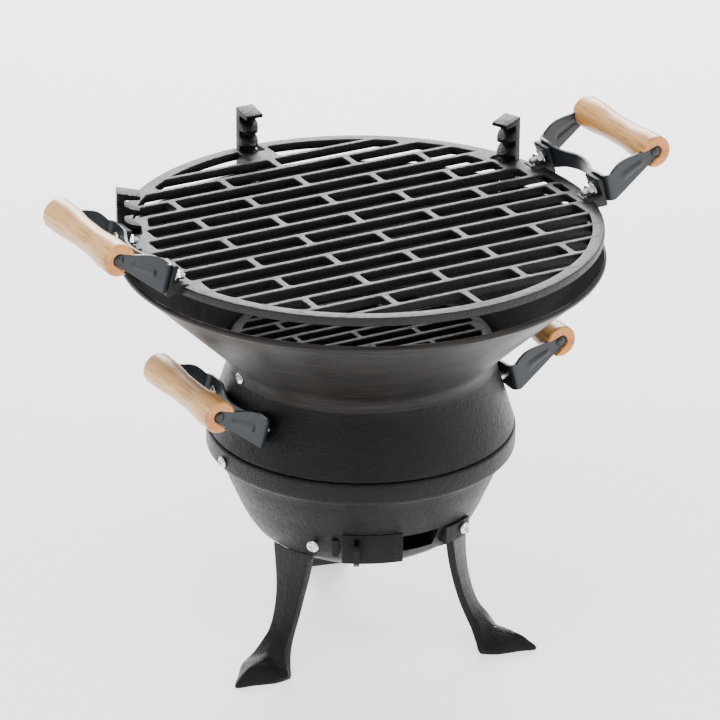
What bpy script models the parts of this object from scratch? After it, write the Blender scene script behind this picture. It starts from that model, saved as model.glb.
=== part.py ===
"""Round cast-iron hibachi grill, built piece by piece.

Metres, +Z up. The origin lies on the grill's own axis at floor level. +X runs along the
grate bars to the right-hand pair of handles and -Y is the front, where the air vent is.
"""
import math

import bmesh
import bpy
from mathutils import Matrix, Vector

# ---- heights above the floor -------------------------------------------------
GRATE_TOP = 0.3265
RIM_Z = 0.3055
NECK_TOP_Z = 0.2292
NECK_FOOT_Z = 0.2190
NECK_SCREW_Z = 0.2237
BAND_SCREW_Z = 0.1600
RING_FOOT_Z = 0.1700
COLLAR_FOOT_Z = 0.1520
BOWL_FOOT_Z = 0.0660

# ---- radii about the grill's axis --------------------------------------------
GRATE_R = 0.1755
RIM_R = 0.1774
RIM_LIP = 0.0016
RIM_FLAT = 0.0034
NECK_R = 0.0998
RING_TOP_R = 0.0978
RING_FOOT_R = 0.1132
COLLAR_R = 0.1145
BOWL_SHOULDER_R = 0.1050
BOWL_PROFILE = ((BOWL_SHOULDER_R, 0.1490), (0.1010, 0.1360), (0.0950, 0.1220), (0.0890, 0.1080),
                (0.0800, 0.0930), (0.0680, 0.0845), (0.0500, 0.0755), (0.0270, 0.0685),
                (0.0, BOWL_FOOT_Z))
CONE_TOP = Vector((RIM_R, RIM_Z - RIM_LIP))
CONE_FOOT = Vector((NECK_R + 0.0006, NECK_TOP_Z))
CONE_DOWN = (CONE_FOOT - CONE_TOP).normalized()
CONE_OUT = Vector((-CONE_DOWN.y, CONE_DOWN.x))

# ---- walls and clearances ----------------------------------------------------
GAP = 0.0003
SHEET = 0.0016
CAST_WALL = 0.0045

# ---- cooking grate -----------------------------------------------------------
GRATE_DEPTH = 0.0065
GRATE_RIM_WIDTH = 0.0092
BAR_PITCH = 0.02044
BAR_WIDTH = 0.0046
BARS_EACH_SIDE = 7
CROSS_PITCH = 0.1045
CROSS_WIDTH = 0.0058
POST_PAD_R = 0.1552
POST_PAD_X = 0.1460
BACK_PAD = (-0.0155, 0.0100)
LUG_PAD_X = 0.1600

# ---- charcoal grate ----------------------------------------------------------
COAL_R = 0.0970
COAL_DEPTH = 0.0060
COAL_RIM_WIDTH = 0.0080
COAL_BAR_PITCH = 0.0134
COAL_BAR_WIDTH = 0.0046
COAL_BARS_EACH_SIDE = 6
COAL_CROSS_PITCH = 0.0850
COAL_TOP_Z = 0.2350

# ---- height posts ------------------------------------------------------------
POST_ANGLES = (21.5, 91.0, 157.5)
POST_WIDTH = 0.0138
POST_FRONT_R = 0.1727
POST_CORE = 0.0053
POST_TOP_Z = 0.3582
POST_TIP_Z = 0.3552
POST_TAB = 0.0042
POST_INSET = 0.0026
TOOTH_REACH = 0.0115
TOOTH_ROOT = 0.0072
TOOTH_TIP = 0.0018
TOOTH_PITCH = 0.0118
TOP_TOOTH_Z = 0.3525
TOOTH_COUNT = 4
NOTCH_HALF = 0.0082
NOTCH_R = 0.1603
FOOT_TAB = 0.0190
POST_BOLT_ALONG = 0.0100
POST_BOLT_LENGTH = 0.0125

# ---- handles: a strap bracket, a wooden grip, a rod and two bolts each ---------
LEAN = 15.0
BOLT_Y = 0.0365
STRAP = 0.0022
STRAP_HALF_HEIGHT = 0.0066
STRAP_BOW = 0.0082
ARM_Y = 0.0467
ARM_HALF_HEIGHT = 0.0105
ARM_TIP_R = 0.0045
ARM_ARCH = 0.0042
BEND_R = 0.0045
RIVET_OUT = 0.0455
RIVET_UP = 0.0115
GRIP_HALF = 0.0496
GRIP_END_R = 0.0120
GRIP_WAIST_R = 0.0102
ROD_R = 0.0024
GRATE_LUG_X = 0.1784
GRATE_LUG_Z = 0.3345
LUG_THICK = 0.0055
LUG_WIDTH = 0.0180
LUG_HALF_HEIGHT = 0.0082
RING_HANDLE_Z = 0.1985
RING_NUT_SEAT = 0.0118

# ---- fasteners ---------------------------------------------------------------
BOLT_R = 0.0027
BOLT_HEAD_R = 0.0052
BOLT_HEAD_H = 0.0026
NUT_R = 0.0050
NUT_H = 0.0042
SCREW_R = 0.0022
SCREW_HEAD_R = 0.0046
SCREW_HEAD_H = 0.0026

# ---- lower group: bowl, vent and legs, turned about the axis ------------------
LOWER_TURN = -13.0
VENT_ANGLE = 270.0 + LOWER_TURN
VENT_HALF = 27.0
VENT_WINDOW_HALF = 24.0
VENT_TOP_Z = 0.1235
VENT_FOOT_Z = 0.0950
VENT_FACE_TOP_R = 0.1070
VENT_FACE_FOOT_R = 0.1005
VENT_WALL = 0.0030
VENT_SPLAY = 0.15
VENT_EAR_ANGLE = 37.5
VENT_EAR_R = 0.0938
VENT_SCREW_Z = 0.1080
PORT_FROM = 3.0
PORT_TO = 22.0
PORT_LOW_Z = 0.1000
PORT_HIGH_Z = 0.1160
SHUTTER_R = 0.0955
SHUTTER_THICK = 0.0016
SHUTTER_TOP_Z = 0.1210
SHUTTER_FROM = -24.0
SHUTTER_TO = 2.5
SHUTTER_TAB = -17.6
LEG_ANGLES = (VENT_ANGLE - 57.0, VENT_ANGLE + 57.0, VENT_ANGLE + 180.0)
LEG_BOLT_R = 0.0660
LEG_BOLT_Z = 0.0950
LEG_BOLT_LENGTH = 0.0160
LEG_PAD_HALF = 5.0
LEG_SHIN = (  # r, z, lean, half width, thickness
    (0.0738, 0.1000, 4.0, 0.0184, 0.0068), (0.0745, 0.0880, 4.0, 0.0172, 0.0064),
    (0.0760, 0.0700, 7.0, 0.0142, 0.0060), (0.0786, 0.0540, 11.0, 0.0116, 0.0058),
    (0.0830, 0.0380, 18.0, 0.0102, 0.0058), (0.0882, 0.0260, 28.0, 0.0100, 0.0062))
FOOT_RINGS = (  # (back or sole r, z, half width), (side r, z, half width), (ridge r, z)
    ((0.0905, 0.0160, 0.0120), (0.0965, 0.0196, 0.0112), (0.0980, 0.0205)),
    ((0.0955, 0.0070, 0.0158), (0.1010, 0.0100, 0.0156), (0.1035, 0.0156)),
    ((0.1005, 0.0000, 0.0202), (0.1035, 0.0035, 0.0204), (0.1080, 0.0145)),
    ((0.1120, 0.0000, 0.0180), (0.1120, 0.0033, 0.0177), (0.1140, 0.0132)),
    ((0.1200, 0.0000, 0.0130), (0.1200, 0.0032, 0.0127), (0.1205, 0.0116)),
    ((0.1280, 0.0000, 0.0072), (0.1280, 0.0030, 0.0069), (0.1275, 0.0094)),
    ((0.1342, 0.0000, 0.0040), (0.1340, 0.0028, 0.0036), (0.1328, 0.0056)),
    ((0.1380, 0.0000, 0.0014), (0.1376, 0.0020, 0.0011), (0.1372, 0.0030)))

# ---- mesh fineness -----------------------------------------------------------
TURN_STEPS = 44
ROUND_STEPS = 60
PIN_SIDES = 8

COLOURS = {
    "cast_iron": ((0.016, 0.017, 0.018), 0.62, 0.35),
    "enamelled_sheet": ((0.020, 0.019, 0.017), 0.38, 0.45),
    "strap_steel": ((0.030, 0.034, 0.038), 0.42, 0.40),
    "wood": ((0.640, 0.400, 0.185), 0.55, 0.0),
    "zinc": ((0.640, 0.650, 0.660), 0.28, 0.95),
}


def clear_scene():
    for obj in list(bpy.data.objects):
        bpy.data.objects.remove(obj, do_unlink=True)


def collection(name):
    made = bpy.data.collections.new(name)
    bpy.context.scene.collection.children.link(made)
    return made


def material(name):
    colour, roughness, metallic = COLOURS[name]
    made = bpy.data.materials.new(name)
    made.use_nodes = True
    shader = made.node_tree.nodes["Principled BSDF"]
    shader.inputs["Base Color"].default_value = (*colour, 1.0)
    shader.inputs["Roughness"].default_value = roughness
    shader.inputs["Metallic"].default_value = metallic
    made.diffuse_color = (*colour, 1.0)
    return made


clear_scene()
PARTS = collection("hibachi_grill")
CUTTERS = collection("cutters")
MATERIALS = {name: material(name) for name in COLOURS}


def place(obj, finish, smooth=True):
    """Link a finished piece, give it its material and shade it."""
    PARTS.objects.link(obj)
    obj.data.materials.append(MATERIALS[finish])
    if smooth and obj.type == "MESH":
        obj.data.shade_smooth()
        obj.data.set_sharp_from_angle(angle=math.radians(35))
    return obj


def as_cutter(obj):
    CUTTERS.objects.link(obj)
    obj.hide_render = True
    obj.display_type = "WIRE"
    return obj


def boolean(obj, other, operation):
    """Add an exact Boolean that reads another object."""
    step = obj.modifiers.new(operation.lower(), "BOOLEAN")
    step.operation = operation
    step.solver = "EXACT"
    step.object = other


def evaluated_mesh(obj):
    graph = bpy.context.evaluated_depsgraph_get()
    mesh = bpy.data.meshes.new_from_object(obj.evaluated_get(graph), depsgraph=graph)
    weld = bmesh.new()
    weld.from_mesh(mesh)
    bmesh.ops.remove_doubles(weld, verts=weld.verts, dist=1e-6)
    bmesh.ops.recalc_face_normals(weld, faces=weld.faces)
    weld.to_mesh(mesh)
    weld.free()
    return mesh


def bake(obj):
    """Evaluate an unplaced object with its modifiers and return its mesh."""
    bpy.context.scene.collection.objects.link(obj)
    bpy.context.view_layer.update()
    mesh = evaluated_mesh(obj)
    bpy.data.objects.remove(obj, do_unlink=True)
    return mesh


def flat_plate(name, outline, thickness, holes=()):
    """A flat outline with holes, extruded half its thickness to each side of its plane."""
    curve = bpy.data.curves.new(name, "CURVE")
    curve.dimensions = "2D"
    curve.fill_mode = "BOTH"
    curve.extrude = thickness / 2
    for loop in (outline, *holes):
        spline = curve.splines.new("POLY")
        spline.points.add(len(loop) - 1)
        for point, (x, y) in zip(spline.points, loop):
            point.co = (x, y, 0.0, 1.0)
        spline.use_cyclic_u = True
    drawn = bpy.data.objects.new(name, curve)
    bpy.context.scene.collection.objects.link(drawn)
    bpy.context.view_layer.update()
    mesh = evaluated_mesh(drawn)
    bpy.data.objects.remove(drawn, do_unlink=True)
    return bpy.data.objects.new(name, mesh)


def turned(name, profile, steps=TURN_STEPS):
    """A closed (radius, height) profile turned right round the local Z axis."""
    mesh = bpy.data.meshes.new(name)
    points = [(r, 0.0, z) for r, z in profile]
    on_axis = profile[0][0] == 0.0
    count = len(points)
    edges = [(i, i + 1) for i in range(count - 1)]
    if not on_axis:
        edges.append((count - 1, 0))
    mesh.from_pydata(points, edges, [])
    obj = bpy.data.objects.new(name, mesh)
    screw = obj.modifiers.new("turn", "SCREW")
    screw.axis = "Z"
    screw.steps = steps
    screw.render_steps = steps
    screw.use_merge_vertices = True
    screw.merge_threshold = 1e-6
    return obj


def sector(name, profile, start, end, steps):
    """A closed (radius, height) profile swept from one azimuth to another, in degrees."""
    work = bmesh.new()
    turn = Matrix.Rotation(math.radians(start), 3, "Z")
    corners = [work.verts.new(turn @ Vector((r, 0.0, z))) for r, z in profile]
    face = work.faces.new(corners)
    bmesh.ops.spin(work, geom=[face, *face.edges, *face.verts], cent=(0, 0, 0), axis=(0, 0, 1),
                   angle=math.radians(end - start), steps=steps, use_duplicate=False)
    bmesh.ops.recalc_face_normals(work, faces=work.faces)
    return from_bmesh(name, work)


def from_bmesh(name, work):
    mesh = bpy.data.meshes.new(name)
    work.to_mesh(mesh)
    work.free()
    return bpy.data.objects.new(name, mesh)


def loft(name, sections):
    """Join equal-length point rings into a closed skin with flat ends."""
    work = bmesh.new()
    rings = [[work.verts.new(point) for point in ring] for ring in sections]
    count = len(rings[0])
    for lower, upper in zip(rings, rings[1:]):
        for i in range(count):
            j = (i + 1) % count
            work.faces.new((lower[i], lower[j], upper[j], upper[i]))
    work.faces.new(rings[0])
    work.faces.new(rings[-1])
    bmesh.ops.recalc_face_normals(work, faces=work.faces)
    return from_bmesh(name, work)


def pin_cutter(name, start, end, radius, sides=PIN_SIDES):
    """A round cutter from one point to another."""
    axis = Vector(end) - Vector(start)
    work = bmesh.new()
    bmesh.ops.create_cone(work, cap_ends=True, segments=sides, radius1=radius, radius2=radius,
                          depth=axis.length)
    turn = axis.to_track_quat("Z", "Y").to_matrix().to_4x4()
    middle = Matrix.Translation((Vector(start) + Vector(end)) / 2)
    bmesh.ops.transform(work, matrix=middle @ turn, verts=work.verts)
    return as_cutter(from_bmesh(name, work))


def polar(radius, degrees, height=0.0):
    angle = math.radians(degrees)
    return Vector((radius * math.cos(angle), radius * math.sin(angle), height))


def circle(radius, steps, centre=(0.0, 0.0)):
    return [(centre[0] + radius * math.cos(2 * math.pi * i / steps),
             centre[1] + radius * math.sin(2 * math.pi * i / steps)) for i in range(steps)]


def slotted_plate(name, outline, thickness, openings):
    """A flat plate with many openings, cut through it in one go."""
    plate = flat_plate(name, outline, thickness)
    boolean(plate, as_cutter(flat_plate("slot_blocks", openings[0], 2 * thickness, openings[1:])),
            "DIFFERENCE")
    mesh = bake(plate)
    tidy = bmesh.new()
    tidy.from_mesh(mesh)
    bmesh.ops.dissolve_limit(tidy, angle_limit=math.radians(0.5), verts=tidy.verts, edges=tidy.edges)
    tidy.to_mesh(mesh)
    tidy.free()
    return bpy.data.objects.new(name, mesh)


def side_plate(name, profile, width):
    """A profile in the X-Z plane, extruded equally to both sides along Y."""
    plate = flat_plate(name, profile, width)
    plate.data.transform(Matrix.Rotation(math.radians(90), 4, "X"))
    return plate


# ---- the two slotted grates ---------------------------------------------------
def clip(polygon, normal, limit):
    """Keep the part of a convex polygon whose points satisfy point . normal <= limit."""
    kept = []
    for here, there in zip(polygon, polygon[1:] + polygon[:1]):
        a = here[0] * normal[0] + here[1] * normal[1] - limit
        b = there[0] * normal[0] + there[1] * normal[1] - limit
        if a <= 0:
            kept.append(here)
        if a * b < 0:
            t = a / (a - b)
            kept.append((here[0] + t * (there[0] - here[0]), here[1] + t * (there[1] - here[1])))
    return kept


def clip_to_circle(polygon, radius, steps=ROUND_STEPS):
    for i in range(steps):
        angle = 2 * math.pi * (i + 0.5) / steps
        polygon = clip(polygon, (math.cos(angle), math.sin(angle)), radius)
        if not polygon:
            break
    return polygon


def area(polygon):
    pairs = zip(polygon, polygon[1:] + polygon[:1])
    return 0.5 * sum(a[0] * b[1] - b[0] * a[1] for a, b in pairs)


def slots(inner_r, pitch, width, bars, cross_pitch, cross_width, pads=(), back_pad=None, smallest=4e-5):
    """Openings between parallel bars, cut into brick-bond cells by short cross pieces.

    A back pad is the span of x left solid behind the last bar instead of cross pieces.
    """
    found = []
    for row in range(-bars - 1, bars + 1):
        low = row * pitch + width / 2
        high = (row + 1) * pitch - width / 2
        if row == -bars - 1:
            low = -inner_r
        if row == bars:
            high = inner_r
        shift = 0.5 * (row % 2)
        spans = [((column + shift) * cross_pitch + cross_width / 2,
                  (column + 1 + shift) * cross_pitch - cross_width / 2) for column in range(-4, 4)]
        if row == bars and back_pad:
            spans = [(-inner_r, back_pad[0]), (back_pad[1], inner_r)]
        for left, right in spans:
            cell = clip_to_circle([(left, low), (right, low), (right, high), (left, high)], inner_r)
            for rows, normal, limit in pads:
                if cell and rows[0] <= row <= rows[1]:
                    cell = clip(cell, normal, limit)
            if len(cell) > 2 and area(cell) > smallest:
                found.append(cell)
    return found


def grate_outline():
    """The grate's edge: a circle with a square notch in front of each post."""
    outline = []
    half_turn = math.degrees(math.asin(NOTCH_HALF / GRATE_R))
    stops = [angle + side * half_turn for angle in POST_ANGLES for side in (-1, 1)]
    spans = list(zip(stops[1::2], stops[2::2] + [stops[0] + 360.0]))
    for post, (start, end) in zip(POST_ANGLES, spans):
        across = polar(1.0, post + 90.0)
        for side in (-1, 1):
            corner = polar(NOTCH_R, post) + side * NOTCH_HALF * across
            outline.append((corner.x, corner.y))
        steps = max(4, round(ROUND_STEPS * (end - start) / 360.0))
        for i in range(steps + 1):
            point = polar(GRATE_R, start + (end - start) * i / steps)
            outline.append((point.x, point.y))
    return outline


def grate_pads():
    """Solid webs inside the rim: behind the side posts' notches and beside the handle lugs."""
    pads = []
    for post in (POST_ANGLES[0], POST_ANGLES[2]):
        out = polar(1.0, post)
        pads.append(((3, 3), (out.x, out.y), POST_PAD_R))
    for side in (-1, 1):
        pads.append(((2, 2), (side, 0.0), POST_PAD_X))
        pads.append(((-2, -2), (side, 0.0), LUG_PAD_X))
        pads.append(((1, 1), (side, 0.0), LUG_PAD_X))
    return pads


def lean_frame(base_x, base_z, side):
    """Local X points out through a leaning strap, local Y across it, at one side of the grill."""
    turn = Matrix.Rotation(0.0 if side > 0 else math.pi, 4, "Z")
    return turn @ Matrix.Translation((base_x, 0.0, base_z)) @ Matrix.Rotation(
        -math.radians(LEAN), 4, "Y")


def grate_lug(side, across):
    """An upright ear with its foot, where one handle bolt passes through."""
    rise = math.tan(math.radians(LEAN))
    foot_z = GRATE_TOP - GRATE_LUG_Z - GRATE_DEPTH + 0.0004
    outer_foot = -foot_z * rise
    outer_top = -LUG_HALF_HEIGHT * rise
    profile = [(-0.0130, foot_z), (outer_foot, foot_z), (outer_top, LUG_HALF_HEIGHT),
               (outer_top - LUG_THICK, LUG_HALF_HEIGHT), (outer_foot - LUG_THICK, foot_z + 0.0050),
               (-0.0130, foot_z + 0.0036)]
    lug = side_plate("lug_cutter", profile, LUG_WIDTH)
    turn = Matrix.Rotation(0.0 if side > 0 else math.pi, 4, "Z")
    lug.data.transform(turn @ Matrix.Translation((GRATE_LUG_X, across, GRATE_LUG_Z)))
    return as_cutter(lug)


def cooking_grate():
    holes = slots(GRATE_R - GRATE_RIM_WIDTH, BAR_PITCH, BAR_WIDTH, BARS_EACH_SIDE,
                  CROSS_PITCH, CROSS_WIDTH, grate_pads(), BACK_PAD)
    grate = slotted_plate("cooking_grate", grate_outline(), GRATE_DEPTH, holes)
    grate.data.transform(Matrix.Translation((0, 0, GRATE_TOP - GRATE_DEPTH / 2)))
    for side in (-1, 1):
        frame = lean_frame(GRATE_LUG_X, GRATE_LUG_Z, side)
        for across in (-BOLT_Y, BOLT_Y):
            boolean(grate, grate_lug(side, across), "UNION")
            start = frame @ Vector((-0.0120, across, 0.0))
            end = frame @ Vector((0.0040, across, 0.0))
            boolean(grate, pin_cutter("lug_hole", start, end, BOLT_R + GAP), "DIFFERENCE")
    place(grate, "cast_iron", smooth=False)


def charcoal_grate():
    holes = slots(COAL_R - COAL_RIM_WIDTH, COAL_BAR_PITCH, COAL_BAR_WIDTH, COAL_BARS_EACH_SIDE,
                  COAL_CROSS_PITCH, COAL_BAR_WIDTH, smallest=2e-5)
    grate = slotted_plate("charcoal_grate", circle(COAL_R, ROUND_STEPS), COAL_DEPTH, holes)
    grate.data.transform(Matrix.Translation((0, 0, COAL_TOP_Z - COAL_DEPTH / 2)))
    place(grate, "cast_iron", smooth=False)


# ---- the bowls ----------------------------------------------------------------
def flared_profile():
    """Spun sheet: a short neck, a plain cone and a turned rim, walls on both sides."""
    inner_top = CONE_TOP - CONE_OUT * SHEET + CONE_DOWN * 0.0030
    inner_foot = CONE_FOOT - CONE_OUT * SHEET
    return [(RIM_R, RIM_Z), CONE_TOP[:], CONE_FOOT[:], (NECK_R, NECK_TOP_Z - 0.0010),
            (NECK_R, NECK_FOOT_Z), (NECK_R - SHEET, NECK_FOOT_Z),
            (NECK_R - SHEET, inner_foot.y - 0.0004), inner_foot[:], inner_top[:],
            (RIM_R - RIM_FLAT, RIM_Z)]


def flared_bowl():
    bowl = turned("flared_bowl", flared_profile())
    for side in (0.0, 180.0):
        boolean(bowl, pin_cutter("neck_hole", polar(NECK_R - 0.01, side, NECK_SCREW_Z),
                                 polar(NECK_R + 0.01, side, NECK_SCREW_Z), SCREW_R + GAP),
                "DIFFERENCE")
    for post in POST_ANGLES:
        start, end = post_bolt_line(post, -0.008, 0.006)
        boolean(bowl, pin_cutter("post_hole", start, end, BOLT_R + GAP), "DIFFERENCE")
    place(bowl, "enamelled_sheet")


def cone_point(along, out=0.0):
    """A point (r, z) a distance down the cone from its rim, and outwards from its outer face."""
    return (CONE_TOP + along * CONE_DOWN + out * CONE_OUT)[:]


def post_bolt_line(angle, *distances):
    """Points on a post bolt's axis at distances outwards from the cone's outer face."""
    points = []
    for out in distances:
        r, z = cone_point(POST_BOLT_ALONG, out)
        points.append(polar(r, angle, z))
    return points


def ring_radius(height):
    """Outer radius of the cast ring at a height."""
    share = (NECK_FOOT_Z - height) / (NECK_FOOT_Z - RING_FOOT_Z)
    return RING_TOP_R + (RING_FOOT_R - RING_TOP_R) * share + 0.0008 * math.sin(math.pi * share)


def ring_handle_x():
    """Distance from the axis at which a body handle's boss sits flat on the ring."""
    return 0.0006 + math.sqrt(ring_radius(RING_HANDLE_Z) ** 2 - (BOLT_Y - 0.006) ** 2)


def body_ring():
    """Cast ring: spigot for the flared bowl, conical wall, skirt inside the collar."""
    top = COAL_TOP_Z - COAL_DEPTH - GAP
    steps = 5
    wall = [NECK_FOOT_Z - (NECK_FOOT_Z - RING_FOOT_Z) * i / steps for i in range(steps + 1)]
    skirt_r = COLLAR_R - CAST_WALL - 0.0006
    spigot_r = NECK_R - SHEET - GAP
    profile = [(spigot_r, top), (spigot_r, NECK_FOOT_Z - GAP)]
    profile += [(ring_radius(z), z) for z in wall[1:-1]]
    profile += [(RING_FOOT_R, RING_FOOT_Z + 0.0006), (RING_FOOT_R - 0.0008, RING_FOOT_Z + GAP),
                (skirt_r, RING_FOOT_Z + GAP), (skirt_r, COLLAR_FOOT_Z + 0.0006),
                (skirt_r - CAST_WALL, COLLAR_FOOT_Z + 0.0006),
                (RING_FOOT_R - CAST_WALL - 0.0030, RING_FOOT_Z),
                (spigot_r - CAST_WALL, NECK_FOOT_Z - 0.004), (spigot_r - CAST_WALL, top)]
    ring = turned("body_ring", profile)
    for side in (0.0, 180.0):
        boolean(ring, pin_cutter("ring_hole", polar(spigot_r - 0.008, side, NECK_SCREW_Z),
                                 polar(spigot_r + 0.008, side, NECK_SCREW_Z), SCREW_R + GAP),
                "DIFFERENCE")
        boolean(ring, pin_cutter("ring_hole", polar(skirt_r - 0.010, side, BAND_SCREW_Z),
                                 polar(skirt_r + 0.003, side, BAND_SCREW_Z), SCREW_R + GAP),
                "DIFFERENCE")
    for side in (-1, 1):
        frame = lean_frame(ring_handle_x(), RING_HANDLE_Z, side)
        for across in (-BOLT_Y, BOLT_Y):
            start = frame @ Vector((-0.014, across, 0.0))
            end = frame @ Vector((0.006, across, 0.0))
            boolean(ring, pin_cutter("ring_hole", start, end, BOLT_R + GAP), "DIFFERENCE")
    place(ring, "cast_iron")


def bowl_radius(height, clearance=0.0):
    """Outer radius of the lower bowl at a height, read along its profile."""
    for (r0, z0), (r1, z1) in zip(BOWL_PROFILE, BOWL_PROFILE[1:]):
        if z1 <= height <= z0:
            return r1 + (r0 - r1) * (height - z1) / (z0 - z1) + clearance
    return BOWL_SHOULDER_R + clearance


def offset_inward(profile, distance):
    """Move an outer profile inward along its normals by a wall thickness."""
    moved = []
    for i, (r, z) in enumerate(profile):
        before = profile[max(i - 1, 0)]
        after = profile[min(i + 1, len(profile) - 1)]
        along = Vector((after[0] - before[0], after[1] - before[1])).normalized()
        moved.append((max(r + along.y * distance, 0.0), z - along.x * distance))
    return moved


def lower_bowl():
    inner = offset_inward(BOWL_PROFILE, CAST_WALL)
    inner[-1] = (0.0, BOWL_FOOT_Z + CAST_WALL)
    inner[0] = (BOWL_SHOULDER_R - CAST_WALL, 0.1500)
    collar_inner = COLLAR_R - CAST_WALL
    outer = [(COLLAR_R - 0.0008, RING_FOOT_Z), (COLLAR_R, RING_FOOT_Z - 0.0010),
             (COLLAR_R, COLLAR_FOOT_Z + 0.0016), (COLLAR_R - 0.0030, COLLAR_FOOT_Z),
             (BOWL_SHOULDER_R + 0.0010, COLLAR_FOOT_Z - 0.0010), *BOWL_PROFILE]
    inside = [*reversed(inner), (collar_inner, 0.1505), (collar_inner, RING_FOOT_Z)]
    bowl = turned("lower_bowl", [*inside, *outer])
    port = sector("port_cutter", [(0.075, PORT_LOW_Z), (0.110, PORT_LOW_Z), (0.110, PORT_HIGH_Z),
                                  (0.075, PORT_HIGH_Z)], VENT_ANGLE + PORT_FROM,
                  VENT_ANGLE + PORT_TO, 6)
    boolean(bowl, as_cutter(port), "DIFFERENCE")
    for side in (0.0, 180.0):
        boolean(bowl, pin_cutter("band_hole", polar(COLLAR_R - 0.008, side, BAND_SCREW_Z),
                                 polar(COLLAR_R + 0.004, side, BAND_SCREW_Z), SCREW_R + GAP),
                "DIFFERENCE")
    for side in (-1, 1):
        angle = VENT_ANGLE + side * VENT_EAR_ANGLE
        boolean(bowl, pin_cutter("vent_hole", polar(0.078, angle, VENT_SCREW_Z),
                                 polar(0.098, angle, VENT_SCREW_Z), SCREW_R + GAP), "DIFFERENCE")
    for angle in LEG_ANGLES:
        boolean(bowl, pin_cutter("leg_hole", polar(LEG_BOLT_R, angle, 0.060),
                                 polar(LEG_BOLT_R, angle, 0.100), BOLT_R + GAP), "DIFFERENCE")
    place(bowl, "cast_iron")


# ---- height posts ---------------------------------------------------------------
def post_profile():
    """Side view of a post as (r, z): flat top plate, toothed front, and a tab inside the cone."""
    back = POST_FRONT_R + POST_CORE
    tip = POST_FRONT_R - TOOTH_REACH
    front = [(tip, POST_TIP_Z)]
    for i in range(TOOTH_COUNT):
        under = TOP_TOOTH_Z - i * TOOTH_PITCH
        if i > 0:
            front += [(POST_FRONT_R, under + TOOTH_ROOT), (tip, under + TOOTH_TIP)]
        front += [(tip, under), (POST_FRONT_R, under)]
    seat = -POST_INSET
    tab_top = cone_point((CONE_TOP.x + (seat - POST_TAB) * CONE_OUT.x - POST_FRONT_R) / -CONE_DOWN.x,
                         seat - POST_TAB)
    neck_r = RIM_R - RIM_FLAT - 3 * GAP
    neck = cone_point((CONE_TOP.x + seat * CONE_OUT.x - neck_r) / -CONE_DOWN.x, seat)
    return [(back, POST_TOP_Z), *front, tab_top, cone_point(FOOT_TAB, seat - POST_TAB),
            cone_point(FOOT_TAB, seat), neck, (neck_r, RIM_Z + GAP), (back, RIM_Z + GAP)]


def posts():
    profile = post_profile()
    for number, angle in enumerate(POST_ANGLES, 1):
        name = f"height_post_{number}"
        post = side_plate(name, profile, POST_WIDTH)
        post.data.transform(Matrix.Rotation(math.radians(angle), 4, "Z"))
        start, end = post_bolt_line(angle, -0.012, 0.004)
        boolean(post, pin_cutter("post_hole", start, end, BOLT_R + GAP), "DIFFERENCE")
        place(post, "cast_iron", smooth=False)


# ---- vent -----------------------------------------------------------------------
def splayed(obj):
    """Widen a vent block towards the bowl, so that its cheeks lean outwards."""
    deep_r = bowl_radius(VENT_TOP_Z)
    for vertex in obj.data.vertices:
        point = vertex.co
        radius = math.hypot(point.x, point.y)
        turn = math.remainder(math.degrees(math.atan2(point.y, point.x)) - VENT_ANGLE, 360.0)
        share = (VENT_FACE_TOP_R - radius) / (VENT_FACE_TOP_R - deep_r)
        turn *= 1.0 + VENT_SPLAY * min(max(share, 0.0), 1.0)
        vertex.co = polar(radius, VENT_ANGLE + turn, point.z)
    return obj


def vent_frame():
    """Curved hood with a window, a cheek at each end and a screwed ear beyond each cheek."""
    hood_z = VENT_TOP_Z + 0.0095
    near = 0.0004
    levels = [VENT_FOOT_Z, 0.0990, 0.1040, 0.1080, 0.1220, hood_z]
    back = [(bowl_radius(z, near), z) for z in levels]
    outer = [(VENT_FACE_TOP_R, VENT_TOP_Z), (VENT_FACE_FOOT_R, VENT_FOOT_Z)]
    frame = splayed(sector("vent_frame", [*back, *outer], VENT_ANGLE - VENT_HALF,
                           VENT_ANGLE + VENT_HALF, 14))
    low = VENT_FOOT_Z + VENT_WALL
    cavity = [(0.070, low), (VENT_FACE_FOOT_R - VENT_WALL, low),
              (VENT_FACE_TOP_R - VENT_WALL, VENT_TOP_Z - VENT_WALL * 0.6), (0.0965, hood_z - 0.0055),
              (0.070, hood_z - 0.0055)]
    inner_half = VENT_HALF - 1.6
    hollow = splayed(sector("vent_cavity", cavity, VENT_ANGLE - inner_half, VENT_ANGLE + inner_half, 14))
    boolean(frame, as_cutter(hollow), "DIFFERENCE")
    sill = VENT_FOOT_Z + 0.0040
    head = VENT_TOP_Z - 0.0045
    window = sector("vent_window", [(0.090, sill), (0.115, sill), (0.115, head), (0.090, head)],
                    VENT_ANGLE - VENT_WINDOW_HALF, VENT_ANGLE + VENT_WINDOW_HALF, 14)
    boolean(frame, as_cutter(window), "DIFFERENCE")
    for side in (-1, 1):
        boolean(frame, vent_ear(side), "UNION")
        angle = VENT_ANGLE + side * VENT_EAR_ANGLE
        boolean(frame, pin_cutter("ear_hole", polar(0.084, angle, VENT_SCREW_Z),
                                  polar(0.100, angle, VENT_SCREW_Z), SCREW_R + GAP), "DIFFERENCE")
    place(frame, "cast_iron")


def vent_ear(side):
    """A flat ear that follows the bowl from the cheek out to its screw."""
    half = 0.0066
    levels = [VENT_SCREW_Z - half, VENT_SCREW_Z, VENT_SCREW_Z + half]
    inner = [(bowl_radius(z, 0.0004), z) for z in levels]
    outer = [(VENT_EAR_R, levels[-1]), (VENT_EAR_R, levels[0])]
    spans = sorted((VENT_ANGLE + side * (VENT_HALF - 1.0), VENT_ANGLE + side * (VENT_EAR_ANGLE + 4.5)))
    return as_cutter(sector("ear_block", [*inner, *outer], spans[0], spans[1], 5))


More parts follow.
